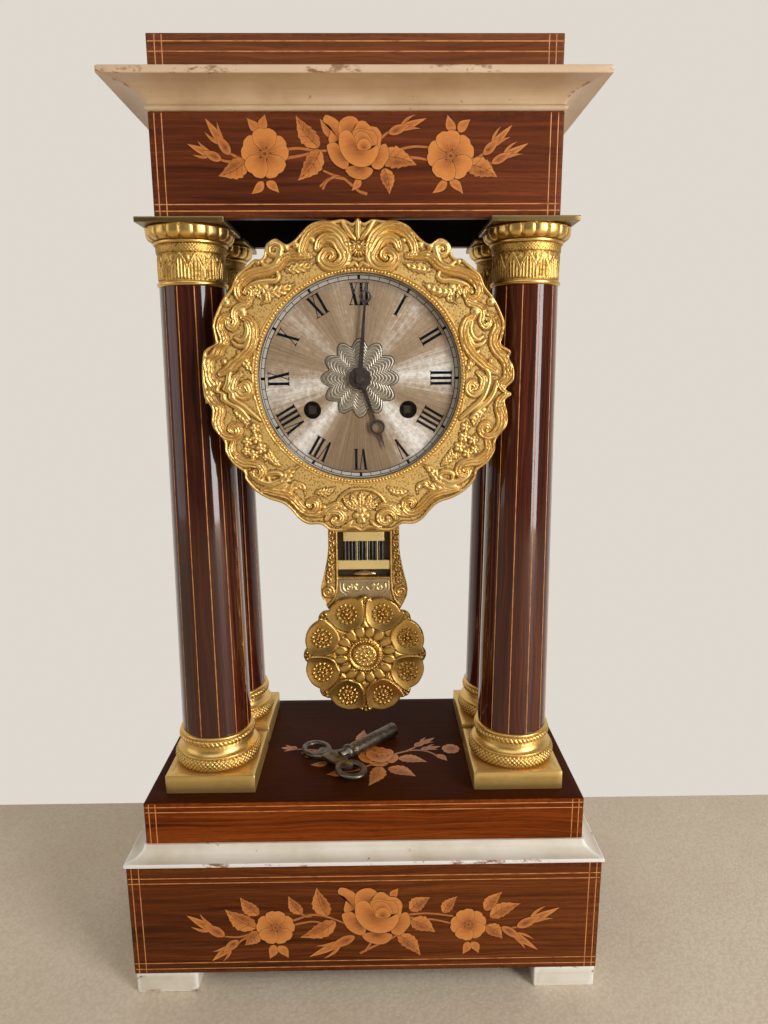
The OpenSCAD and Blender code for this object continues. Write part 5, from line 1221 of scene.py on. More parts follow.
# Straps: width, lift, fluting and points
BEZEL_STROKES = [
    (2.0, 1.9, 0.25, [(18.8, 59.1), (17.6, 62.1), (14.5, 63.8), (10.7, 62.7), (8.4, 59.4), (6.4, 55.5),
                      (8.1, 52.3), (11.5, 51.2), (15.0, 52), (16.8, 54.5), (15.3, 57.1), (12.8, 57.6),
                      (11.5, 56.2), (12.4, 54.6)]),
    (1.7, 1.8, 0.25, [(4.9, 53.2), (5.0, 58.6), (7.0, 64.1), (11.1, 67.6), (15.1, 68.6), (19.6, 67.3),
                      (23.1, 64.6), (25.4, 60.8), (26.0, 57.2), (23.7, 55.6)]),
    (1.2, 1.5, 0.0, [(39.2, 58.4), (38.5, 59.3), (37.2, 58.8), (37.2, 57.2), (39.0, 56.1), (41.0, 57.4),
                     (40.7, 59.9), (38.1, 61.0), (35.8, 59.6), (36.3, 56.3), (38.1, 52.8), (41.6, 50.8),
                     (44.8, 52.8)]),
    (1.7, 1.9, 0.25, [(22.5, 55.6), (28.3, 55.6), (31.8, 55.8), (34.7, 54.2), (37.6, 51.4), (41.7, 49.5),
                      (46.9, 48.6), (51.6, 46.9), (54.8, 43.9), (56.1, 40.2), (55.0, 37.4), (52.4, 36.6),
                      (50.3, 38.3), (50.2, 40.3), (51.7, 41.1), (52.9, 39.7)]),
    (1.1, 1.4, 0.0, [(37.6, 48.4), (37.0, 46.4), (38.8, 44.8), (41.7, 44.7), (45.8, 44.2), (49.9, 43.0),
                     (51.4, 41.9)]),
    (1.3, 1.6, 0.2, [(50.3, 38.0), (51.8, 34.6), (55.0, 33.5), (57.7, 31.8), (58.4, 29.0), (57.9, 26.1),
                     (59.7, 23.8), (61.4, 25.0), (61.7, 26.7), (60.3, 27.3)]),
    (1.6, 1.8, 0.25, [(61.3, 29.4), (64.3, 27.6), (65.3, 23.8), (63.9, 19.8), (63.7, 15.8), (65.6, 12.3),
                      (69.0, 8.8), (70.6, 4.8), (70.4, 0.1), (67.5, -2.8), (68.8, -5.2), (71.2, -6.7)]),
    (1.7, 1.9, 0.25, [(54.6, 28.4), (51.6, 27.3), (49.9, 23.9), (49.8, 19.9), (51.1, 15.3), (53.9, 11.2),
                      (57.7, 7.7), (61.3, 4.8), (65.6, 2.5)]),
    (1.0, 1.3, 0.0, [(53.4, 26.2), (52.6, 22.7), (53.8, 19.3), (56.3, 17.9), (58.6, 19.3)]),
    (0.9, 1.2, 0.0, [(51.8, 21.6), (52.8, 17.6), (54.8, 15.3), (58.1, 15.8), (59.8, 17.5)]),
    (1.6, 1.8, 0.25, [(71.2, -7.6), (68.3, -9.6), (66.9, -12.3), (67.3, -15.9), (68.3, -18.9), (68.2, -22.2),
                      (66.6, -25.5), (63.9, -27.2), (60.9, -27.2), (58.9, -25.4), (59.3, -23.0),
                      (61.4, -22.1), (62.9, -23.7), (61.9, -24.9)]),
    (1.5, 1.7, 0.2, [(56.6, 2.5), (59.3, -0.4), (58.5, -4.8), (55.3, -7.5), (52.6, -6.0), (52.6, -3.3),
                     (54.3, -2.2), (56.0, -4.0), (54.8, -5.1)]),
    (1.2, 1.5, 0.0, [(60.1, 5.4), (62.0, 0.7), (61.2, -4.6), (58.7, -9.9), (54.5, -14.0), (51.0, -17.0),
                     (48.4, -19.3)]),
    (1.1, 1.4, 0.0, [(65.7, -1.7), (64.6, -6.4), (61.7, -11.1), (57.0, -14.9), (53.5, -19.0)]),
    (1.6, 1.8, 0.25, [(61.6, -29.7), (62.6, -34.0), (60.6, -37.6), (57.2, -40.0), (53.2, -40.3),
                      (49.6, -41.8), (48.1, -44.9), (49.7, -47.4), (52.1, -46.8), (52.6, -44.9),
                      (51.0, -44.2)]),
    (1.1, 1.4, 0.0, [(38.6, -48.2), (38.6, -46.7), (40.4, -45.3), (43.8, -45.4), (45.4, -46.7),
                     (44.8, -48.9)]),
    (1.2, 1.5, 0.0, [(39.9, -48.6), (43.6, -50.4), (47.9, -49.9), (51.8, -47.7), (54.0, -45.0)]),
    (0.9, 1.2, 0.0, [(47.9, -52.7), (43.0, -51.1), (38.6, -47.9), (36.1, -45.4)]),
    (0.9, 1.2, 0.0, [(48.5, -53.3), (43.0, -52.3), (38.0, -50.1), (35.6, -48.2)]),
    (1.6, 1.8, 0.25, [(48.5, -53.6), (43.0, -54.6), (38.1, -55.6), (34.4, -57.4), (32.0, -59.9),
                      (29.8, -62.4), (27.0, -64.5), (23.9, -65), (21.8, -63.0), (21.8, -60.2), (23.9, -59.1),
                      (26.1, -60.4), (25.3, -62)]),
    (1.3, 1.6, 0.2, [(17.4, -68.6), (15.3, -65.2), (12.2, -64.5), (9.4, -66.5), (9.4, -69.2), (11.8, -70.6),
                     (14.0, -69.4), (12.9, -68.2)]),
    (0.7, 1.2, 0.0, [(0.0, -53.4), (5.0, -54.0), (9.2, -56.6), (11.8, -60.2), (12.6, -63.0)]),
    (1.1, 1.5, 0.2, [(24.0, -66.8), (19.2, -65.6), (15.4, -62.4), (11.2, -61.4), (8.0, -63.6)]),
    (0.9, 1.4, 0.0, [(4.6, -69.6), (7.0, -72.0), (9.6, -72.6)]),
    (1.0, 1.8, 0.0, [(0.0, 63.4), (0.0, 67.6), (0.0, 71.8)]),
    (1.0, 1.6, 0.0, [(1.4, 63.0), (4.2, 66.0), (7.2, 70.6)]),
    (0.8, 1.3, 0.0, [(0.0, 50.8), (2.0, 52.6), (4.2, 51.4), (6.4, 53.0)]),
] + [(0.42, 1.2, 0.0, [(1.4 * math.cos(t), 59.6 + 1.4 * math.sin(t)),
                       (4.3 * math.cos(t), 59.6 + 4.3 * math.sin(t))])
     for t in np.radians((-90, -68, -46, -24, -2, 20, 42))]

# Leaves: width, lift and points
BEZEL_LEAVES = [
    (2.6, 1.5, [(43.5, 39.7), (37.7, 40.1), (33.6, 41.6), (30.2, 43.2)]),
    (2.4, 1.5, [(49.9, 43.1), (45.8, 42.7), (43.0, 39.7), (42.6, 36.4), (45.5, 34.6)]),
    (1.8, 1.4, [(51.1, 40.2), (47.6, 39.7), (45.6, 36.6)]),
    (2.6, 1.5, [(40.5, -52.3), (36.8, -47.3), (34.3, -44.3), (30.9, -42.2)]),
    (2.3, 1.5, [(43.0, -53.6), (36.2, -53.3), (31.3, -51.1), (27.9, -53.1), (27.7, -56.0)]),
    (2.2, 1.4, [(33.0, 49.5), (29.0, 50.2), (24.5, 51.0), (21.0, 52.6)]),
    (1.9, 1.6, [(0.0, -62.8), (0.0, -58.6), (0.0, -54.4)]),
    (1.8, 1.5, [(1.6, -62.8), (3.8, -59.4), (4.8, -55.6)]),
    (1.8, 1.5, [(2.6, -63.6), (6.4, -61.0), (9.0, -57.8)]),
    (2.0, 1.4, [(56.5, 12.5), (53.0, 6.5), (51.2, 3.0)]),
    (2.2, 1.4, [(60.0, -15.0), (55.5, -19.0), (55.0, -23.0)]),
    (2.0, 1.4, [(22.0, -55.0), (17.0, -55.0), (13.0, -52.6)]),
    (2.0, 1.4, [(40.0, -41.5), (43.5, -38.0), (44.5, -33.5)]),
]

# Knobs and florets: place, radius and lift
BEZEL_KNOBS = [(28.6, 60.4, 1.7, 1.5), (33.4, 59.4, 1.6, 1.4), (54.8, 30.7, 2.3, 1.7), (62.0, 35.2, 2.0, 1.6),
               (0.0, 59.6, 1.4, 2.0), (21.0, 62.5, 1.2, 1.2), (46.5, 53.0, 1.2, 1.2), (62.5, 8.0, 1.2, 1.2),
               (44.5, -51.6, 1.0, 1.1), (57.0, -44.0, 1.1, 1.2), (18.5, -62.5, 1.3, 1.3)]
BEZEL_FLORETS = [(50.4, -28.2, 2.9, 1.9), (54.8, -29.8, 2.6, 1.8), (48.3, -33.0, 2.9, 1.9),
                 (52.0, -36.0, 2.6, 1.8), (55.6, -34.4, 2.3, 1.7), (51.0, -23.2, 2.5, 1.8),
                 (46.2, -37.4, 1.9, 1.6), (0.0, -66.8, 4.3, 2.1)]


def make_bezel():
    """The gilt bezel: half of its relief is raised and mirrored, and its rim is filled out at the hinge."""
    bore, back, seat, ground, sheet_back = 48.7, -46.2, 51.2, -50.3, -50.0
    hinge_x, hinge_y, hinge_rim, notch_half, notch_x = -73, -47.5, 75.0, 5.3, 70.6
    hinge_turn, hinge_spread, lip_r = math.radians(271), math.radians(11.5), 51.0
    steps, rows = 1080, 86
    rim = smooth_path(BEZEL_RIM, 0.5)
    angle, reach = np.arctan2(rim[:, 0], rim[:, 1]), np.hypot(rim[:, 0], rim[:, 1]) + 0.5
    half = np.arange(steps // 2 + 1) * TAU / steps
    order = np.argsort(angle)
    edge = np.interp(half, angle[order], reach[order])
    edge = np.convolve(np.pad(edge, 2, mode="reflect"), [0.1, 0.2, 0.4, 0.2, 0.1], "valid")
    s = np.linspace(0, 1, rows)[:, None]
    r = bore + s * (edge - bore)
    relief = Relief(r * np.sin(half), r * np.cos(half))
    relief.stroke(BEZEL_RIM, 0.9, 1.2, 0.0)
    for width, lift, flute, points in BEZEL_STROKES:
        relief.stroke(points, (1.5 if flute else 1.25) * width, 1.1 * lift, flute=flute)
    for width, lift, points in BEZEL_LEAVES:
        relief.leaf(points, width, lift)
    for x, z, size, lift in BEZEL_KNOBS:
        relief.knob(x, z, size, lift)
    for x, z, size, lift in BEZEL_FLORETS:
        relief.floret(x, z, size, lift)
    h = relief.heights()
    lip = np.clip(1 - np.abs(r - lip_r) / 0.5, 0, 1) * 0.7
    foot = relief.foot.reshape(r.shape) * np.clip(1 - h / 0.9, 0, 1)
    h = np.maximum(h, lip) - 0.12 * foot - 0.5 * np.clip((r - edge + 0.5) / 0.5, 0, 1)
    h, foot = (np.concatenate([v, v[:, -2:0:-1]], 1) for v in (h, foot))
    edge = np.concatenate([edge, edge[-2:0:-1]])
    a = angles(steps)
    swell = np.exp(-((a - hinge_turn) / hinge_spread) ** 6)
    edge = edge + swell * (hinge_rim - edge)
    notch = (np.abs(edge * np.cos(a)) < notch_half) & (np.sin(a) < 0)
    cut = np.where(notch, np.minimum(edge, notch_x / np.maximum(-np.sin(a), 0.1)), edge)
    r = bore + s * (edge - bore)
    # The crest is lowered by foot: painted shade round the raised forms.
    crest = np.clip(0.5 + 0.24 * h - 0.46 * foot, 0, 1)
    rings = [dial_ring(q, ground - v, a) for q, v in zip(r, h)]
    rings += [dial_ring(q, y, a) for q, y in ((edge, sheet_back), (cut, sheet_back), (cut, back),
                                              (seat, back), (seat, back - 3.4), (bore, back - 3.4))]
    crest = np.concatenate([crest, np.full((len(rings) - rows, steps), 0.25)])
    shapes = [lofted(rings, crest, loop=True)]
    for z0, z1 in ((-11.5, -5.2), (5.2, 11.5)):
        knuckle = [(0.85, z0), (1.5, z0), (1.8, z0 + 0.3), (1.8, z1 - 0.3), (1.5, z1), (0.85, z1)]
        shapes.append(turned_shape(knuckle, 24, 0.5, loop=True).moved(hinge_x, hinge_y, DIAL_Z))
    piece("gilt_bezel", "bezel_door", joined(shapes), BEZEL_GILDING, "gilt_bronze", "bezel", sharp=60)
    string = curves([dial_ring(49.75, ground - 0.15, angles(240))], True)
    BEADS.grow("bezel_beading", string, {"Count": 200, "Radius": 0.72 * MM}, "bezel_door", POLISHED,
               "gilt_bronze", sharp=80)


# Dial: numerals, minute track and the engraved rosette

def stroke_quad(x0, y0, x1, y1, w0, w1=None):
    """A flat stroke from one point to another, its width measured level."""
    w1 = w0 if w1 is None else w1
    return [(x0 - w0 / 2, y0), (x0 + w0 / 2, y0), (x1 + w1 / 2, y1), (x1 - w1 / 2, y1)]


def numeral_strokes(text, foot, head):
    """Upright Roman figures as flat strokes, thick and thin, with slim serifs."""
    wide = {"I": 2.3, "V": 4.3, "X": 4.5}
    thick, thin, serif = 1.35, 0.42, 0.42
    gap = 0.25
    total = sum(wide[c] for c in text) + gap * (len(text) - 1)
    quads, x = [], -total / 2
    for c in text:
        w = wide[c]
        mid = x + w / 2
        if c == "I":
            quads += [stroke_quad(mid, foot, mid, head, thick)]
            quads += [stroke_quad(mid, y, mid, y + s * serif, w) for y, s in ((foot, 1), (head, -1))]
        elif c == "V":
            quads += [stroke_quad(mid + 0.1, foot, x + 0.95, head, thick * 0.8, thick)]
            quads += [stroke_quad(mid + 0.2, foot, x + w - 0.5, head, thin)]
            quads += [stroke_quad(q, head, q, head - serif, v)
                      for q, v in ((x + 0.95, 2.1), (x + w - 0.5, 1.3))]
        else:
            quads.append(stroke_quad(x + w - 1.0, foot, x + 1.0, head, thick))
            quads.append(stroke_quad(x + 0.6, foot, x + w - 0.6, head, thin))
            quads += [stroke_quad(q, y, q, y + s * serif, v) for y, s in ((foot, 1), (head, -1))
                      for q, v in ((x + 1.0, 1.9), (x + w - 1.0, 1.9))]
        x += w + gap
    return quads


def thin_plates(quads, low, high):
    """Thin four-sided plates between two depths, lying down, each a hair higher than the last."""
    hair = 0.002
    return joined([lofted([np.array([(x, y, z) for x, y in q]) for z in (low, high + hair * k)])
                   for k, q in enumerate(quads)])


def make_dial():
    """Numerals, minute track, and a silver band and rim, partly painted light under the bezel lip's shadow,
    on the dial; the rosette in its middle.
    """
    track, figure_foot, figure_head = 47.0, 34.2, 44.6
    shapes = []
    for hour, text in enumerate(("XII", "I", "II", "III", "IIII", "V", "VI", "VII", "VIII", "IX", "X", "XI")):
        strokes = numeral_strokes(text, figure_foot, figure_head)
        shapes.append(thin_plates(strokes, -0.15, 0.035).turned(-30 * hour))
    figures = joined(shapes).facing().moved(y=DIAL_FACE, z=DIAL_Z)
    piece("dial_numerals", "case", figures, BLACK, "silvered_dial")
    place = (0, DIAL_FACE * MM, DIAL_Z * MM)
    for name, count, size in (("minute_ticks", 60, (2.1, 0.32, 0.12)),
                              ("five_minute_dots", 12, (2.3, 1.3, 0.16))):
        values = {"Count": count, "Radius": track * MM, "Size": tuple(v * MM for v in size), "Place": place}
        MARKS.grow(name, curves([[(0, 0, 0), (1, 0, 0)]]), values, "case", BLACK, "silvered_dial")
    lines = curves([dial_ring(q, DIAL_FACE + 0.05, angles(240)) for q in (track - 0.9, track + 0.9)], True)
    LINES.grow("minute_track_lines", lines, {"Radius": 0.2 * MM}, "case", BLACK, "silvered_dial")
    # A silver band and rim brighter than the dial: partly the rim's own polish, partly painted light against
    # the shadow of the bezel lip.
    rings = [dial_ring(q, DIAL_FACE + y, angles(360))
             for q, y in ((46.2, 0.1), (46.2, -0.03), (48.4, -0.03), (48.4, 0.1))]
    piece("minute_band_painted_light", "case", lofted(rings, 0.5, loop=True), SILVER_PAINTED_LIGHT, "silvered_dial")
    rim = curves([dial_ring(48.35, DIAL_FACE - 0.2, angles(240))], True)
    LINES.grow("dial_rim_painted_light", rim, {"Radius": 0.3 * MM}, "case", SILVER_PAINTED_LIGHT, "silvered_dial")
    make_rosette()


def make_rosette():
    """The engine-turned star in the middle of the dial, its lines following the points."""
    steps, rows, grooves = 720, 80, 9
    inner, valley, point = 3.2, 14.9, 3.7
    a = angles(steps)
    rim = valley + point * np.abs(np.cos(6 * a)) ** 1.2
    s = np.linspace(0, 1, rows)[:, None]
    r = inner + s * (rim - inner)
    line = np.abs(np.sin(math.pi * grooves * s)) + 0 * r
    h = 0.05 + 0.16 * line
    rings = [dial_ring(q, DIAL_FACE - v, a) for q, v in zip(r, h)]
    rings += [dial_ring(q, DIAL_FACE + 0.2, a) for q in (rim, inner)]
    crest = np.concatenate([0.05 + 0.9 * line, np.full((2, steps), 0.2)])
    piece("dial_rosette", "case", lofted(rings, crest, loop=True), ROSETTE, "silvered_dial", sharp=60)
    for name, q in (("rosette_outline", rim + 0.35), ("rosette_inner_line", inner + 0.92 * (rim - inner))):
        path = dial_ring(q, DIAL_FACE - 0.08, a)[::2]
        LINES.grow(name, curves([path], True), {"Radius": 0.14 * MM}, "case", BLACK, "silvered_dial")


# Pendulum

def make_bob():
    """The petalled bob: eight dishes with beaded florets, small lobes between, a beaded boss."""
    steps, rows, dishes, petals = 720, 92, 8, 16
    dish_far, dish_long, dish_wide, power = 27.4, 10.2, 11.2, 2.8
    floret_far, petal_far, petal_long, petal_wide = 28.0, 15.0, 4.4, 3.25
    front, back, hub = 6.3, 8.3, 0.6
    a = angles(steps)
    step = TAU / dishes

    def lobe(turn, far, size):
        off = (a - turn + step / 2) % step - step / 2
        inside = size ** 2 - (far * np.sin(off)) ** 2
        return np.where(inside > 0, far * np.cos(off) + np.sqrt(np.maximum(inside, 0)), 0)

    def spoke(turn):
        """How far each point lies along a spoke and to its side."""
        return x * math.cos(turn) + y * math.sin(turn), y * math.cos(turn) - x * math.sin(turn)

    def ring(q, y, turn):
        return np.column_stack([q * np.cos(turn), np.broadcast_to(y, turn.shape), BOB_Z + q * np.sin(turn)])

    edge = np.maximum.reduce([lobe(step / 2, 24.2, 13.3), lobe(0.0, 31.6, 5.3), np.full(steps, 30.0)])
    s = np.linspace(0, 1, rows)[:, None]
    r = hub + s * (edge - hub)
    x, y = r * np.cos(a), r * np.sin(a)
    relief = Relief(x, y)
    near = np.full(x.shape, 9.0)
    for k in range(dishes):
        t = step * (k + 0.5)
        along, across = spoke(t)
        along = along - dish_far
        dish = np.abs(along / dish_long) ** power + np.abs(across / (dish_wide + 0.38 * along)) ** power
        near = np.minimum(near, dish ** (1 / power))
        for count, far, size, lift in ((1, 0.0, 1.25, 1.9), (7, 2.5, 0.95, 1.6), (13, 5.4, 0.8, 1.45)):
            relief.beads(floret_far * math.cos(t), floret_far * math.sin(t), count, far, size, lift, t, 0.5)
        for far, turn in ((33.4, 0.0), (34.9, -0.06), (34.9, 0.06)):
            relief.beads(0, 0, 1, far, 0.8, 1.9, step * k + turn)
    for k in range(petals):
        along, across = spoke(TAU * (k + 0.5) / petals)
        away = np.hypot((along - petal_far) / petal_long, across / petal_wide).ravel()
        relief.paint_shade_band(slice(None), 3.0 * (away - 1))
        relief.h = np.maximum(relief.h, 1.15 * np.clip(1 - away ** 4, 0, 1) ** 0.7)
    for count, far, size, lift in ((24, 11.0, 0.55, 1.5), (14, 5.6, 0.95, 2.4), (7, 2.9, 1.05, 2.6),
                                   (1, 0.0, 1.7, 3.1)):
        relief.beads(0, 0, count, far, size, lift)
    rise = [(0, 0.1), (0.3, 0.18), (0.6, 0.55), (0.8, 1.05), (0.93, 1.45), (0.99, 0.6), (1.04, 0.7),
            (1.12, 1.25)]
    dish = np.interp(near, *zip(*rise)) * np.clip((r - 17.2) / 1.2, 0, 1)
    line = np.exp(-((near - 1.01) / 0.035) ** 2)
    boss = 1.7 * np.clip((7.4 - r) / 0.7, 0, 1) ** 0.5
    collar = 0.9 * np.clip(1 - np.abs(r - 9.4) / 1.4, 0, 1) ** 0.5
    h = np.maximum.reduce([dish, relief.heights(), boss, collar])
    h -= 0.6 * np.clip((r - edge + 0.6) / 0.6, 0, 1)
    foot = relief.foot.reshape(r.shape) * np.clip(1.5 - h, 0, 1)
    # The crest is lowered along the dish outlines, and by foot as painted shade round the raised forms.
    crest = np.clip(0.42 + 0.2 * h - 0.3 * line * (r > 17.5) - 0.24 * foot, 0, 1)
    rings = [ring(q, front - v - 0.9 * (1 - (q / 37.5) ** 2), a) for q, v in zip(r, h)]
    rings.append(ring(edge, back, a))
    crest = np.concatenate([crest, np.full((1, steps), 0.2)])
    piece("gilt_bob", "pendulum", lofted(rings, crest), BOB_GILDING, "gilt_bronze", "pendulum_bob", sharp=60)
    string = curves([ring(9.1, front - 1.6, angles(120))], True)
    BEADS.grow("bob_beading", string, {"Count": 34, "Radius": 0.7 * MM}, "pendulum", POLISHED, "gilt_bronze",
               sharp=80)


def border_walls(faces, below):
    """Walls from the open border of a sheet of faces to its copy further on in the list."""
    edges = np.concatenate([np.stack([faces[:, k], faces[:, (k + 1) % 4]], -1) for k in range(4)])
    key = np.sort(edges, 1)
    first, count = np.unique(key, axis=0, return_index=True, return_counts=True)[1:]
    rim = edges[first[count == 1]]
    return np.stack([rim[:, 1], rim[:, 0], rim[:, 0] + below, rim[:, 1] + below], -1)


def relief_sheet(x, z, front, back, crest, faces):
    """A sheet over the faces of a field of points: relief in front, a flat back and walls at the borders."""
    n = x.size
    skins = [np.column_stack([x.ravel(), y, z.ravel()]) for y in (front.ravel(), np.full(n, back))]
    crest = np.concatenate([np.clip(crest.ravel(), 0, 1), np.full(n, 0.2)])
    used = np.unique(np.concatenate([faces.ravel(), faces.ravel() + n]))
    number = np.zeros(2 * n, int)
    number[used] = np.arange(len(used))
    walls = border_walls(faces, n)
    return Shape(np.concatenate(skins)[used], [number[f] for f in (faces, faces[:, ::-1] + n, walls)],
                 crest[used])


def spiral(x, z, r, turns, start):
    """Points of a volute, wound inwards from its outer end."""
    t = np.linspace(0, 1, 26)
    a = start + turns * TAU * t
    q = r * (1 - 0.86 * t)
    return np.column_stack([x + q * np.cos(a), z + q * np.sin(a)])


def make_pendulum_frame():
    """The gilt frame over the bob: curled rails that flare to two volutes, a window and a plain foot."""
    z0, z1 = 192.0, 258.0
    win_x, win_z0, win_z1 = 15.4, 211.9, 239.3
    front, back = 8.6, 11.0
    volute_x, volute_z, curls, curl_step, leaves, leaf_step = 21.6, 203.0, 11, 3.7, 14, 2.8
    zs = np.concatenate([np.linspace(z0, win_z0, 60), np.linspace(win_z0, win_z1, 80)[1:],
                         np.linspace(win_z1, z1, 50)[1:]])
    half = np.interp(zs, [192, 196, 200, 204, 208, 213, 218, 224, 230, 258],
                     [21.5, 23.6, 25.4, 25.9, 25.2, 23.9, 22.8, 21.6, 20.9, 20.8])
    inner = np.linspace(-win_x, win_x, 61)
    rail = np.linspace(0, 1, 30)[1:]
    xs = np.concatenate([(-win_x - (half[:, None] - win_x) * rail[::-1]), np.repeat(inner[None], len(zs), 0),
                         win_x + (half[:, None] - win_x) * rail], 1)
    z = np.repeat(zs[:, None], xs.shape[1], 1)
    relief = Relief(xs, z)
    for s in (-1, 1):
        relief.stroke([(s * 16.1, 209), (s * 16.0, 225), (s * 16.0, 257)], 0.65, 1.3, 0.0)
        relief.stroke([(s * 16.1, 209), (s * 16.6, 204), (s * 18.4, 198), (s * 21.4, 194.4)], 0.65, 1.2, 0.0)
        relief.stroke(spiral(volute_x, volute_z, 3.9, 1.9, math.pi / 2) * (s, 1), 0.85, 1.6, 0.2)
        relief.knob(s * volute_x, volute_z, 1.1, 1.9)
        for k in range(curls):
            zk = 209.6 + curl_step * k
            xk = 0.5 * (17.0 + float(np.interp(zk, zs, half)))
            relief.stroke(spiral(xk, zk, 1.95, 1.2, math.pi * (0.2 + k % 2)) * (s, 1), 0.6, 1.4, 0.2)
            relief.knob(s * (xk + (1.3 if k % 2 else -1.3)), zk + 1.85, 0.55, 1.1)
    relief.stroke([(-16, 211.2), (0, 211.2), (16, 211.2)], 0.5, 0.8, 0.0)
    relief.stroke([(-16, 240.0), (0, 240.0), (16, 240.0)], 0.6, 1.1, 0.0)
    for k in range(leaves):
        relief.leaf([(x + leaf_step * k, z) for x, z in ((-18, 242), (-17.4, 245), (-18, 248))], 1.3, 1.0, 2)
    h = relief.heights()
    edge = np.clip(1 - np.abs(np.abs(xs) - half[:, None] + 0.4) / 0.4, 0, 1) * 0.8
    h = np.maximum(h, edge)
    foot = relief.foot.reshape(h.shape) * np.clip(1 - h / 0.9, 0, 1)
    keep = grid_faces(*xs.shape)
    mid_x, mid_z = xs.ravel()[keep].mean(1), z.ravel()[keep].mean(1)
    keep = keep[~((np.abs(mid_x) < win_x) & (mid_z > win_z0) & (mid_z < win_z1))]
    # The crest is lowered by foot: painted shade round the raised forms.
    shell = relief_sheet(xs, z, front - h, back - 0.4, 0.42 + 0.3 * h - 0.4 * foot, keep)
    piece("gilt_pendulum_frame", "pendulum", shell, BEZEL_GILDING, "gilt_bronze", "pendulum_frame", sharp=60)
    # A nearly black plate behind the window: painted shade seen between the rods.
    plate = soft_box((-18.0, back - 0.38, win_z0 - 3), (18.0, back, win_z1 + 3), 0.1)
    plate.crest[:] = 0.0
    piece("window_shade_plate", "pendulum", plate, WINDOW_SHADE_METAL, "gilt_bronze")
    make_foot_plate(front)


def make_foot_plate(front):
    """The dull plate under the window, engraved with two groups of scrolls."""
    x = np.repeat(np.linspace(-15.3, 15.3, 123)[None], 61, 0)
    z = np.repeat(np.linspace(193.0, 210.5, 61)[:, None], 123, 1)
    relief = Relief(x, z)
    for side in (-1, 1):
        wave = np.array([(1.2, 205.6), (2.8, 203.8), (4.8, 204.2), (6.2, 206.4), (8.0, 207.2)])
        for points in (np.concatenate([wave, spiral(9.2, 205.4, 2.0, 1.3, math.pi * 0.62)[2:]]),
                       spiral(5.0, 206.6, 1.3, 1.0, -math.pi / 2),
                       [(9.6, 202.9), (11.4, 203.4), (12.6, 205.4), (12.4, 207.6)]):
            relief.stroke(np.asarray(points) * (side, 1), 0.55, 0.45, 0.2)
    for points in ([(-14.4, 209.2), (0, 209.4), (14.4, 209.2)],
                   [(-14.4, 209.2), (-14.2, 204), (-11.0, 200.6)],
                   [(14.4, 209.2), (14.2, 204), (11.0, 200.6)]):
        relief.stroke(points, 0.35, 0.3, 0.0)
    h = relief.heights()
    sheet = relief_sheet(x, z, front - 0.3 - h, front + 0.3, 0.2 + 2.2 * h, grid_faces(*x.shape))
    piece("frame_foot_plate", "pendulum", sheet, DULL_PLATE, "gilt_bronze", sharp=60)


def make_grille():
    """Dark rods and thin brass ones between two bright cross plates, with a bow below."""
    y0, y1 = 8.7, 10.3
    lo, hi = box_mm("gridiron_grille")
    z0, z1, tall = lo[2], hi[2], 5.48
    shape = joined([soft_box((-half, y0, foot), (half, y1, foot + tall), 0.2, pitch=3.0)
                    for half, foot in ((12, z1 - tall), (15.3, z0))])
    shape.crest[:] = np.maximum(shape.crest, 0.6)
    piece("grille_plates", "pendulum", shape, PALE_BRASS, "plain_brass", "gridiron_grille")

    def rod(x, y, r):
        return turned_shape([(r, z0 + tall - 0.5), (r, z1 - tall + 0.5)], 16).moved(x, y)

    dark = [rod((k - 5.5) * 2.0, 9.6, 0.8) for k in range(12)]
    piece("grille_dark_rods", "pendulum", joined(dark), DARK_STEEL, "plain_brass")
    pale = [rod(x, 8.9, 0.3) for x in (-4.0, 2.0, 8.0)]
    piece("grille_bright_rods", "pendulum", joined(pale), PALE_BRASS, "plain_brass")
    bow = smooth_path([(-6.8, 213.4), (-3.6, 215.2), (0, 215.8), (3.6, 215.2), (6.8, 213.4), (3.0, 212.8),
                       (0, 212.5), (-3.0, 212.8)], 0.5, closed=True)
    middle = np.array([0, 213.9])
    rings = []
    for y, share in ((10.2, 1.0), (9.6, 1.0), (9.1, 0.85), (8.9, 0.5)):
        flat = middle + share * (bow - middle)
        rings.append(np.column_stack([flat[:, 0], np.full(len(bow), y), flat[:, 1]]))
    piece("window_bow", "pendulum", lofted(rings, 0.4), FINISH["bell_bronze"], "plain_brass")


# Winding key

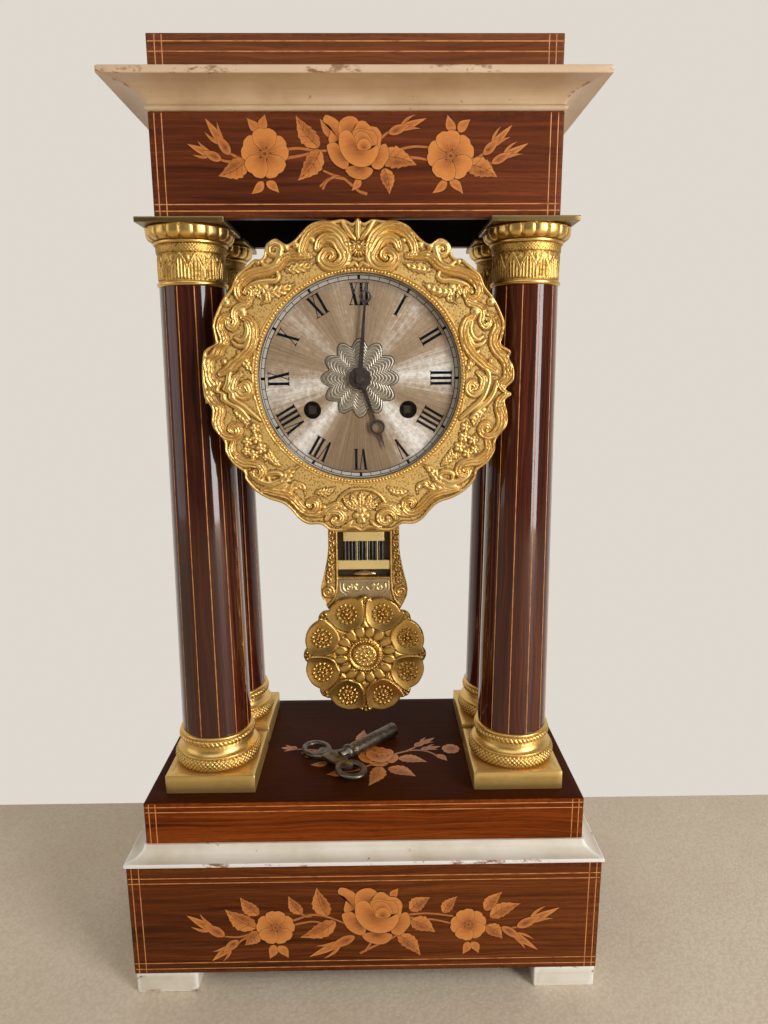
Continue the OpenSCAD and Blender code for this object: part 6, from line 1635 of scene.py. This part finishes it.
def make_key():
    """The iron key: two flat loops joined by a web, a collar and a hollow barrel."""
    loop_y, lie, place, steps = 15.2, 43.6, (-14.6, -21.3, 113.3), 64

    def ring(y):
        section = [(7.3 + 1.9 * math.cos(q), 1.5 * math.sin(q)) for q in np.radians(range(0, 360, 30))]
        shape = turned_shape(section, 48, 0.5, loop=True)
        shape.points *= (0.92, 1.06, 1.0)
        return shape.moved(-5.0, y)

    web = smooth_path([(5.0, 3.4), (1.0, 5.6), (-0.6, 9.6), (-2.8, 14.0), (-8.6, 10.6), (-8.4, 4.0),
                       (-8.4, -4.0), (-8.6, -10.6), (-2.8, -14.0), (-0.6, -9.6), (1.0, -5.6), (5.0, -3.4)],
                      0.6, closed=True)
    middle = np.array([-3.0, 0.0])
    rings = [np.column_stack([middle + k * (web - middle), np.full(len(web), z)])
             for k, z in ((0.94, -1.3), (1.0, -0.8), (1.0, 0.8), (0.94, 1.3))]
    a = angles(steps)
    profile = [(2.4, 0.0), (3.1, 1.0), (3.2, 4.0), (4.2, 4.8), (4.4, 6.2), (4.2, 7.6), (3.4, 8.4),
               (3.5, 10.0)]
    profile += [(3.7 + 0.45 * t, 11 + 32.6 * t) for t in np.linspace(0, 1, 40)]
    profile += [(3.9, 44.0), (2.6, 44.0), (2.5, 34.0)]
    rough = np.random.default_rng(4).normal(0, 0.05, (len(profile), steps))
    barrel = [np.column_stack([np.full(steps, x), (r + d) * np.cos(a), (r + d) * np.sin(a)])
              for (r, x), d in zip(profile, rough)]
    shape = joined([ring(loop_y), ring(-loop_y), lofted(rings, 0.4), lofted(barrel, 0.3)])
    piece("iron_key", "key", shape.turned(lie).moved(*place), FINISH["key_iron"], "key_iron", "winding_key",
          sharp=50)


# Stage and light

def lamp(name, place, target, size, power, colour=(1, 1, 1)):
    data = bpy.data.lights.new(name, "AREA")
    data.shape = "RECTANGLE"
    data.size, data.size_y = size
    data.energy = power
    data.color = colour
    light = bpy.data.objects.new(name, data)
    scene.collection.objects.link(light)
    way = Vector(target) - Vector(place)
    light.matrix_world = Matrix.Translation(place) @ way.to_track_quat("-Z", "Y").to_matrix().to_4x4()


def make_stage():
    """A pale table, a room that is darker on the viewer's side, and three soft lamps."""
    f = Finish("table_top")
    cloth = f.noise(14.0, detail=5.0)
    fine = f.noise(240.0, detail=3.0)
    grain = f.plus(f.cells(520.0), f.times(fine, 0.6))
    colour = f.ramp(cloth, (0.35, tone(214, 197, 172)), (0.65, tone(220, 205, 182)))
    colour = f.blend(f.span(grain, 0.3, 1.1, 0.0, 0.4), colour, tone(180, 161, 136))
    rough = f.span(fine, 0.3, 0.7, 0.5, 0.62)
    top = f.surface(Base_Color=colour, Roughness=rough, Normal=f.bump(grain, 0.12 * MM))
    far, wide = 0.106, 1.6
    mesh = bpy.data.meshes.new("table_top")
    mesh.from_pydata([(-wide, -wide, 0), (wide, -wide, 0), (wide, far, 0), (-wide, far, 0)], [],
                     [(0, 1, 2, 3)])
    mesh.materials.append(top)
    table = bpy.data.objects.new("table_top", mesh)
    scene.collection.objects.link(table)
    room = bpy.data.worlds.new("room")
    room.use_nodes = True
    tree = room.node_tree
    tree.nodes.clear()
    way = add_node(tree, "ShaderNodeTexCoord").outputs["Generated"]
    ahead = add_node(tree, "ShaderNodeSeparateXYZ", {0: way}).outputs[1]
    share = add_node(tree, "ShaderNodeMapRange", {0: ahead, 1: -1.0, 2: 1.0}).outputs[0]
    shade = add_node(tree, "ShaderNodeValToRGB", {0: share})
    shade = colour_stops(shade, [(0.5, (0.11, 0.10, 0.09, 1)), (0.78, (0.74, 0.69, 0.62, 1))])
    light = add_node(tree, "ShaderNodeBackground", {0: shade}).outputs[0]
    add_node(tree, "ShaderNodeOutputWorld", {0: light})
    scene.world = room
    lamp("window", (0.92, -0.86, 0.5), (0, 0, 0.27), (0.46, 1.1), 17.0, (0.97, 0.98, 1.0))
    lamp("far_wall", (-1.35, -0.4, 0.5), (0, 0, 0.25), (0.9, 1.2), 4.0, (1.0, 0.97, 0.93))
    lamp("ceiling", (-0.1, -0.8, 1.25), (0, 0, 0.25), (1.2, 0.9), 4.2)


def dress_frame():
    """Every node of the frame gets the finish of its slot, except the front plate and the winding arbors,
    which get dark finishes as painted shade in the winding holes.
    """
    blued = FINISH["blued_steel"]
    painted_shade_finishes = {"front_plate": DARK_STEEL, "going_arbor": blued, "strike_arbor": blued}
    for part in frame["record"]["subparts"]:
        node = frame["nodes"][part["node"]]
        node.data.materials.clear()
        node.data.materials.append(painted_shade_finishes.get(part["node"], FINISH[part["material_slot"]]))


make_stage()
dress_frame()
make_feet()
make_mouldings()
make_veneered_boards()
make_capitals()
make_column_bases()
make_shafts()
make_plinths()
make_marquetry()
make_lines()
make_bezel()
make_dial()
make_bob()
make_pendulum_frame()
make_grille()
make_key()
